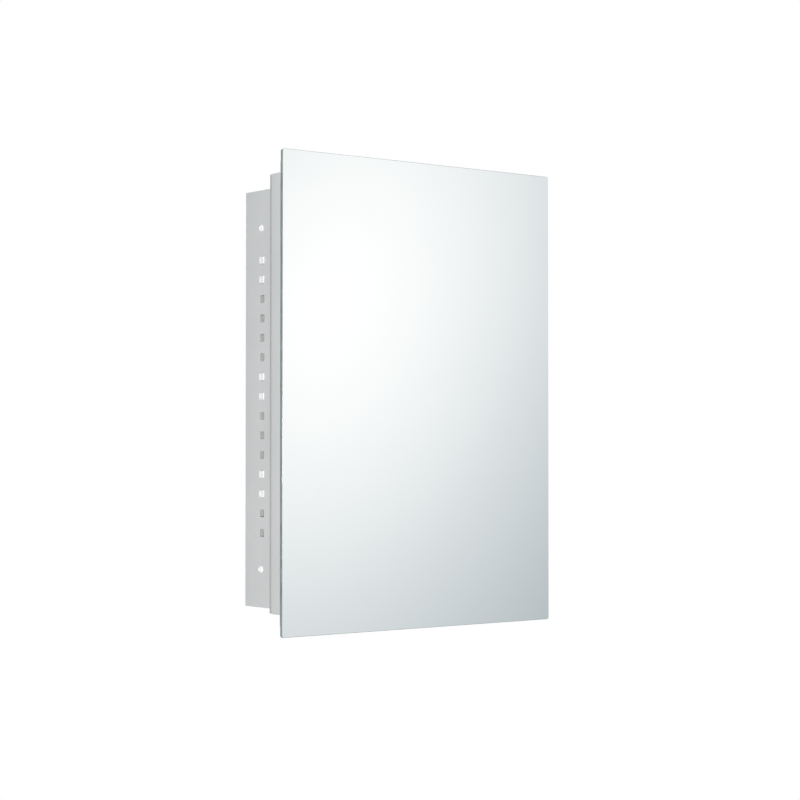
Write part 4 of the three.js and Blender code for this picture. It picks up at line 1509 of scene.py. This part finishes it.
@dataclass
class Shelving:
    """The glass shelves, their clips, and the plugs in the wall screw holes."""

    sheet: float = 1.0 * MM
    edge_round: float = 1.2 * MM
    corner: float = 3 * MM
    plate: float = 2 * MM
    gap: float = 0.3 * MM
    slot_half: float = 2.75 * MM
    ledge: float = 14 * MM
    lip: float = 8 * MM
    tip: float = 2 * MM
    root: float = 4.5 * MM
    peg_half: float = 4.2 * MM
    dish_margin: float = 1.1 * MM
    dish_slope: float = 1.2 * MM
    dish_depth: float = 0.5 * MM
    pitch: float = 23 * MM
    head_rise: float = 1.9 * MM
    head_brow: float = 0.62
    stem: float = 4.1 * MM
    stem_taper: float = 0.78
    chamfer: float = 0.9 * MM
    core: float = 2.1 * MM
    core_mouth: float = 2.4 * MM

    def build(self) -> None:
        """Builds the shelves, the clips and the plugs."""
        for body in (Body.SHELF_UPPER, Body.SHELF_MIDDLE, Body.SHELF_LOWER):
            self.shelf(body)
            for side in Side:
                self.clip(body.value.removeprefix("shelf_"), side)
        for side in Side:
            for end in End:
                self.plug(f"hole_plug_{end.word}_{side.word}", side)

    def shelf(self, body: Body) -> None:
        """Builds a shelf with round corners and a pencil edge. Its node has its body's name."""
        node = body.value
        shape = Shape().block(*place_of(node))
        shape.round(self.corner, 6, parallel(Z_AXIS))
        shape.round(self.edge_round, 4, lambda edge: not parallel(Z_AXIS)(edge))

        def sort(face: bmesh.types.BMFace) -> int:
            """0 for the two clear faces, 1 for the edge."""
            return 0 if abs(face.normal.z) > FACING else 1

        finishes = [SHELF_FACE, SHELF_EDGE]
        made = Piece(node, body, Slot.SHELF_GLASS, finishes, edge=0, sort=sort, flats=True)
        made.make(shape)

    def clip(self, word: str, side: Side) -> None:
        """Builds a clip: a plate with a slot for the shelf's end, and two pegs through the side."""
        node = f"shelf_clip_{word}_{side.word}"
        low, high = place_of(node)
        height = (low.z + high.z) / 2
        panel = place_of(f"{side.word}_side_panel")
        wall = abs(panel[0 if side is Side.LEFT else 1].x) - self.sheet
        half = (high.z - low.z) / 2
        face = self.gap + self.plate
        outline = [
            (self.gap, -half),
            (face, -half),
            (face, -self.slot_half - self.root),
            (self.ledge, -self.slot_half - self.tip),
            (self.ledge, -self.slot_half),
            (face, -self.slot_half),
            (face, self.slot_half),
            (self.lip, self.slot_half),
            (self.lip, self.slot_half + self.tip),
            (face, self.slot_half + self.root),
            (face, half),
            (self.gap, half),
        ]
        corners = [Vector((side.value * (wall - x), low.y, height + z)) for x, z in outline]
        shape = Shape().prism(corners, Y_AXIS * (high.y - low.y))
        outside = side.value * (wall - self.gap)
        tip = abs((low if side is Side.LEFT else high).x)
        reach = X_AXIS * side.value * (tip - wall + self.gap)
        middle = (low.y + high.y) / 2
        for end in End:
            centre = Vector((outside, middle, height + end.value * self.pitch / 2))
            peg = shape.window(centre, Y_AXIS * self.peg_half, Z_AXIS * self.peg_half)
            peg = shape.raise_face(peg, reach)
            shape.dish(peg, self.dish_margin, self.dish_slope, self.dish_depth)
        made = Piece(node, Body.CABINET, Slot.NYLON, [NYLON], edge=0.35 * MM, edge_steps=3)
        made.make(shape)

    def plug(self, node: str, side: Side) -> None:
        """Builds a push-in plug: a domed head inside the cabinet and a tapered plug in the hole."""
        low, high = place_of(node)
        centre = (low + high) / 2
        inside = -X_AXIS * side.value
        centre.x = (high if side is Side.LEFT else low).x
        length = high.x - low.x
        head, stem, rise = (high.z - low.z) / 2, self.stem, self.head_rise
        floor = self.chamfer - length
        profile = [(0.0, floor), (self.core, floor), (self.core_mouth, -length)]
        profile += [(self.stem_taper * stem, -length), (stem, floor), (stem, -rise), (head, -rise)]
        profile += round_top(head, self.head_brow * rise)
        shape = Shape().lathe(profile, centre, inside, steps=40)
        Piece(node, Body.CABINET, Slot.NYLON, [NYLON], edge=0.15 * MM).make(shape)


# ------------------------------------------------------------------------------------- catch


@dataclass
class MagneticCatch:
    """The magnetic catch on the body's right side, and the strike plate on the door."""

    wall: float = 1.8 * MM
    ear: float = 3 * MM
    ear_length: float = 12 * MM
    ear_depth: float = 18 * MM
    fit: float = 0.3 * MM
    strike_corner: float = 2 * MM

    def build(self) -> None:
        """Builds the housing, the magnet, the poles, the strike plate and their fasteners."""
        self.housing()
        self.slab("catch_magnet", Slot.FERRITE, FERRITE, 0.25 * MM)
        for side in Side:
            self.slab(f"catch_pole_{side.word}", Slot.ZINC, ZINC, 0.2 * MM)
        self.strike()
        for number in (1, 2):
            screw(f"catch_screw_{number}", -X_AXIS, Slot.ZINC, ZINC)
            rivet(f"strike_rivet_{number}", Slot.ZINC, ZINC)

    def slab(self, node: str, slot: Slot, finish: Finish, edge: float) -> None:
        """Builds the magnet or a pole piece, with broken edges."""
        Piece(node, Body.CABINET, slot, [finish], edge=edge).make(Shape().block(*place_of(node)))

    def housing(self) -> None:
        """Builds the housing: a box open to the front, with an ear at each end."""
        low, high = place_of("catch_housing")
        magnet_low, magnet_high = place_of("catch_magnet")
        shape = Shape().block(
            Vector((low.x, low.y, low.z + self.ear_length)),
            Vector((high.x, high.y, high.z - self.ear_length)),
        )
        shape.cut(X_AXIS * (high.x - self.ear), X_AXIS)
        shape.cut(Y_AXIS * (high.y - self.ear_depth), Y_AXIS)
        for end in End:
            root = high.z - self.ear_length if end is End.TOP else low.z + self.ear_length
            centre = Vector((high.x - self.ear / 2, high.y - self.ear_depth / 2, root))
            shape.raise_face(shape.nearest(centre), Z_AXIS * end.value * self.ear_length)
        mouth_centre = Vector(((low.x + high.x) / 2, low.y, (low.z + high.z) / 2))
        mouth_half = X_AXIS * ((high.x - low.x) / 2 - self.wall)
        rise = Z_AXIS * ((magnet_high.z - magnet_low.z) / 2 + self.fit)
        self.pocket(shape, mouth_centre, mouth_half, rise, Y_AXIS * (high.y - self.wall - low.y))
        made = Piece(
            "catch_housing", Body.CABINET, Slot.NYLON, [NYLON], edge=0.4 * MM, edge_steps=3
        )
        made.make(shape)

    def pocket(
        self,
        shape: Shape,
        centre: Vector,
        across: Vector,
        up: Vector,
        into: Vector,
    ) -> None:
        """Sinks a rectangular pocket.

        Args:
            shape: the shape.
            centre: the middle of the pocket's mouth.
            across: from its middle to one side.
            up: from its middle to its top.
            into: the way and the distance to its floor.
        """
        shape.window(centre, across, up)

        def in_mouth(face: bmesh.types.BMFace) -> bool:
            """Whether a face lies in the pocket's mouth."""
            offset = face.calc_center_median() - centre
            return (
                abs(offset.dot(into.normalized())) < CLOSE
                and abs(offset.dot(across.normalized())) < across.length
                and abs(offset.dot(up.normalized())) < up.length
            )

        shape.draw([face for face in shape.bm.faces if in_mouth(face)], into)

    def strike(self) -> None:
        """Builds the strike plate, with round corners."""
        shape = Shape().block(*place_of("strike_plate"))
        shape.round(self.strike_corner, 6, parallel(Y_AXIS))
        Piece("strike_plate", Body.DOOR, Slot.ZINC, [ZINC], edge=0.2 * MM).make(shape)


# ------------------------------------------------------------------------------------- studio


@dataclass(frozen=True)
class SoftLight:
    """A square area light that looks at the cabinet."""

    name: str
    place: tuple[float, float, float]
    size: float
    power: float
    color: Color = (1.0, 1.0, 1.0)

    def build(self) -> None:
        """Hangs the light."""
        data = bpy.data.lights.new(self.name, "AREA")
        data.size = self.size
        data.energy = self.power
        data.color = self.color
        lamp = bpy.data.objects.new(self.name, data)
        lamp.location = self.place
        lamp.rotation_mode = "QUATERNION"
        lamp.rotation_quaternion = (-Vector(self.place)).to_track_quat("-Z", "Y")
        bpy.context.scene.collection.objects.link(lamp)


@dataclass
class Studio:
    """A pale floor, a soft world, soft lights and the camera."""

    floor_drop: float = 0.36
    floor_radius: float = 2.4
    floor_fade: float = 1.2
    floor_edge: float = 0.96
    lens: float = 89.94
    sensor: float = 36
    azimuth: float = -38.31
    elevation: float = -1.41
    distance: float = 2.402
    aim_x: float = -0.0337
    aim_z: float = -0.0064
    room_level: float = 0.46
    room_tint: Color = (0.90, 1.0, 1.05)
    screen_azimuth: float = 35.75
    screen_elevation: float = 4.1
    screen_tilt: float = math.radians(-17.7)
    screen_narrow: float = math.radians(12.5)
    screen_wide: float = math.radians(19.5)
    screen_level: float = 0.58
    sky_low: float = 0.25
    sky_high: float = 0.9
    ground_grey: Color = (0.5, 0.5, 0.5)
    ground_roughness: float = 0.9
    lights: Sequence[SoftLight] = (
        SoftLight("key", (-1.857, -2.489, -0.076), 0.1, 92),
        SoftLight("overhead_box", (0.3, -1.4, 2.4), 2.0, 14),
        SoftLight("back_box", (0.9, 2.6, 1.2), 2.0, 34),
        SoftLight("right_box", (2.8, -0.4, 0.8), 1.6, 24),
    )

    def build(self) -> None:
        """Sets the stage."""
        self.camera()
        self.world()
        self.floor()
        for light in self.lights:
            light.build()
        bpy.context.scene.view_settings.view_transform = "Standard"

    def direction(self, azimuth: float, elevation: float) -> Vector:
        """The way from the cabinet towards an azimuth and an elevation in degrees."""
        turn, rise = math.radians(azimuth), math.radians(elevation)
        level = math.cos(rise)
        return Vector((math.sin(turn) * level, -math.cos(turn) * level, math.sin(rise)))

    def camera(self) -> None:
        """Stands the camera to the left front, at the height of the mirror's middle."""
        mirror = place_of("mirror_glass")[0].y
        data = bpy.data.cameras.new("camera")
        data.lens = self.lens
        data.sensor_width = self.sensor
        camera = bpy.data.objects.new("camera", data)
        centre = Y_AXIS * mirror
        camera.location = centre + self.direction(self.azimuth, self.elevation) * self.distance
        aim = Vector((self.aim_x, mirror, self.aim_z))
        camera.rotation_mode = "QUATERNION"
        camera.rotation_quaternion = (aim - camera.location).to_track_quat("-Z", "Y")
        bpy.context.scene.collection.objects.link(camera)
        bpy.context.scene.camera = camera

    def world(self) -> None:
        """Makes a white surround, which lights the cabinet as a grey room with one soft screen."""
        world = bpy.data.worlds.new("studio")
        bpy.context.scene.world = world
        world.use_nodes = True
        graph = Graph(world.node_tree)
        view = graph.node("ShaderNodeTexCoord", output="Generated")
        centre = self.direction(self.screen_azimuth, self.screen_elevation)
        level = Vector((-centre.y, centre.x, 0)).normalized()
        upright = centre.cross(level)
        turn = Matrix.Rotation(self.screen_tilt, 3, centre)

        def along(axis: Vector) -> Signal:
            """How far a ray points along an axis."""
            values = {0: view, 1: axis}
            return graph.node("ShaderNodeVectorMath", {"operation": "DOT_PRODUCT"}, values, "Value")

        across = along(turn @ level) * (1 / self.screen_narrow)
        up = along(turn @ upright) * (1 / self.screen_wide)
        glow = (across**2.0 + up**2.0) ** 0.5
        glow = glow.ramp(0, 1, 1, 0) * along(centre).ramp(0, 0.4)
        sky = along(Z_AXIS).ramp(self.sky_low, self.sky_high, self.room_level, 1.0)
        color = graph.mix(glow, self.room_tint, (1, 1, 1))
        strength = sky + glow * self.screen_level
        lit = graph.node("ShaderNodeBackground", {}, {"Color": color, "Strength": strength})
        seen = graph.node("ShaderNodeBackground", {}, {"Color": (1, 1, 1, 1), "Strength": 1.0})
        camera_ray = graph.node("ShaderNodeLightPath", output="Is Camera Ray")
        surround = graph.node("ShaderNodeMixShader", {}, {0: camera_ray, 1: lit, 2: seen})
        graph.node("ShaderNodeOutputWorld", {}, {"Surface": surround})

    def floor(self) -> None:
        """Lays a pale floor, which looks white and reflects as a grey that fades into the room."""
        height = place_of("mirror_glass")[0].z - self.floor_drop
        bm = bmesh.new()
        bmesh.ops.create_circle(
            bm,
            cap_ends=True,
            segments=96,
            radius=self.floor_radius,
            matrix=Matrix.Translation((0, 0, height)),
        )
        mesh = bpy.data.meshes.new("floor")
        bm.to_mesh(mesh)
        bm.free()
        material = bpy.data.materials.new("floor")
        material.use_nodes = True
        graph = Graph(material.node_tree)
        values = {"Base Color": rgba(self.ground_grey), "Roughness": self.ground_roughness}
        ground = graph.node("ShaderNodeBsdfPrincipled", {}, values)
        tint = tuple(channel * self.room_level for channel in self.room_tint)
        room = graph.node("ShaderNodeEmission", {}, {"Color": rgba(tint)})
        white = graph.node("ShaderNodeEmission", {}, {"Color": (1, 1, 1, 1)})
        values = {0: graph.place((1, 1, 0))}
        spread = graph.node("ShaderNodeVectorMath", {"operation": "LENGTH"}, values, "Value")
        fade = spread.ramp(self.floor_fade, self.floor_edge * self.floor_radius)
        reflected = graph.node("ShaderNodeMixShader", {}, {0: fade, 1: ground, 2: room})
        camera_ray = graph.node("ShaderNodeLightPath", output="Is Camera Ray")
        shader = graph.node("ShaderNodeMixShader", {}, {0: camera_ray, 1: reflected, 2: white})
        graph.node("ShaderNodeOutputMaterial", {}, {"Surface": shader})
        mesh.materials.append(material)
        floor = bpy.data.objects.new("floor", mesh)
        bpy.context.scene.collection.objects.link(floor)
        floor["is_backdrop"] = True


def corners(box: tuple[Vector, Vector]) -> list[list[float]]:
    """A box as plain lists."""
    return [list(corner) for corner in box]


def main() -> None:
    """Builds the studio and the cabinet."""
    logging.basicConfig(level=logging.INFO, format="%(name)s: %(message)s")
    cad = corners(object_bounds())
    Studio().build()
    for part in (CabinetBody, FrontFrame, PianoHinge, MirrorDoor, Shelving, MagneticCatch):
        LOG.info("building %s", part.__name__)
        part().build()
    {"cad": cad, "visual": corners(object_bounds())}


if __name__ == "__main__":
    main()
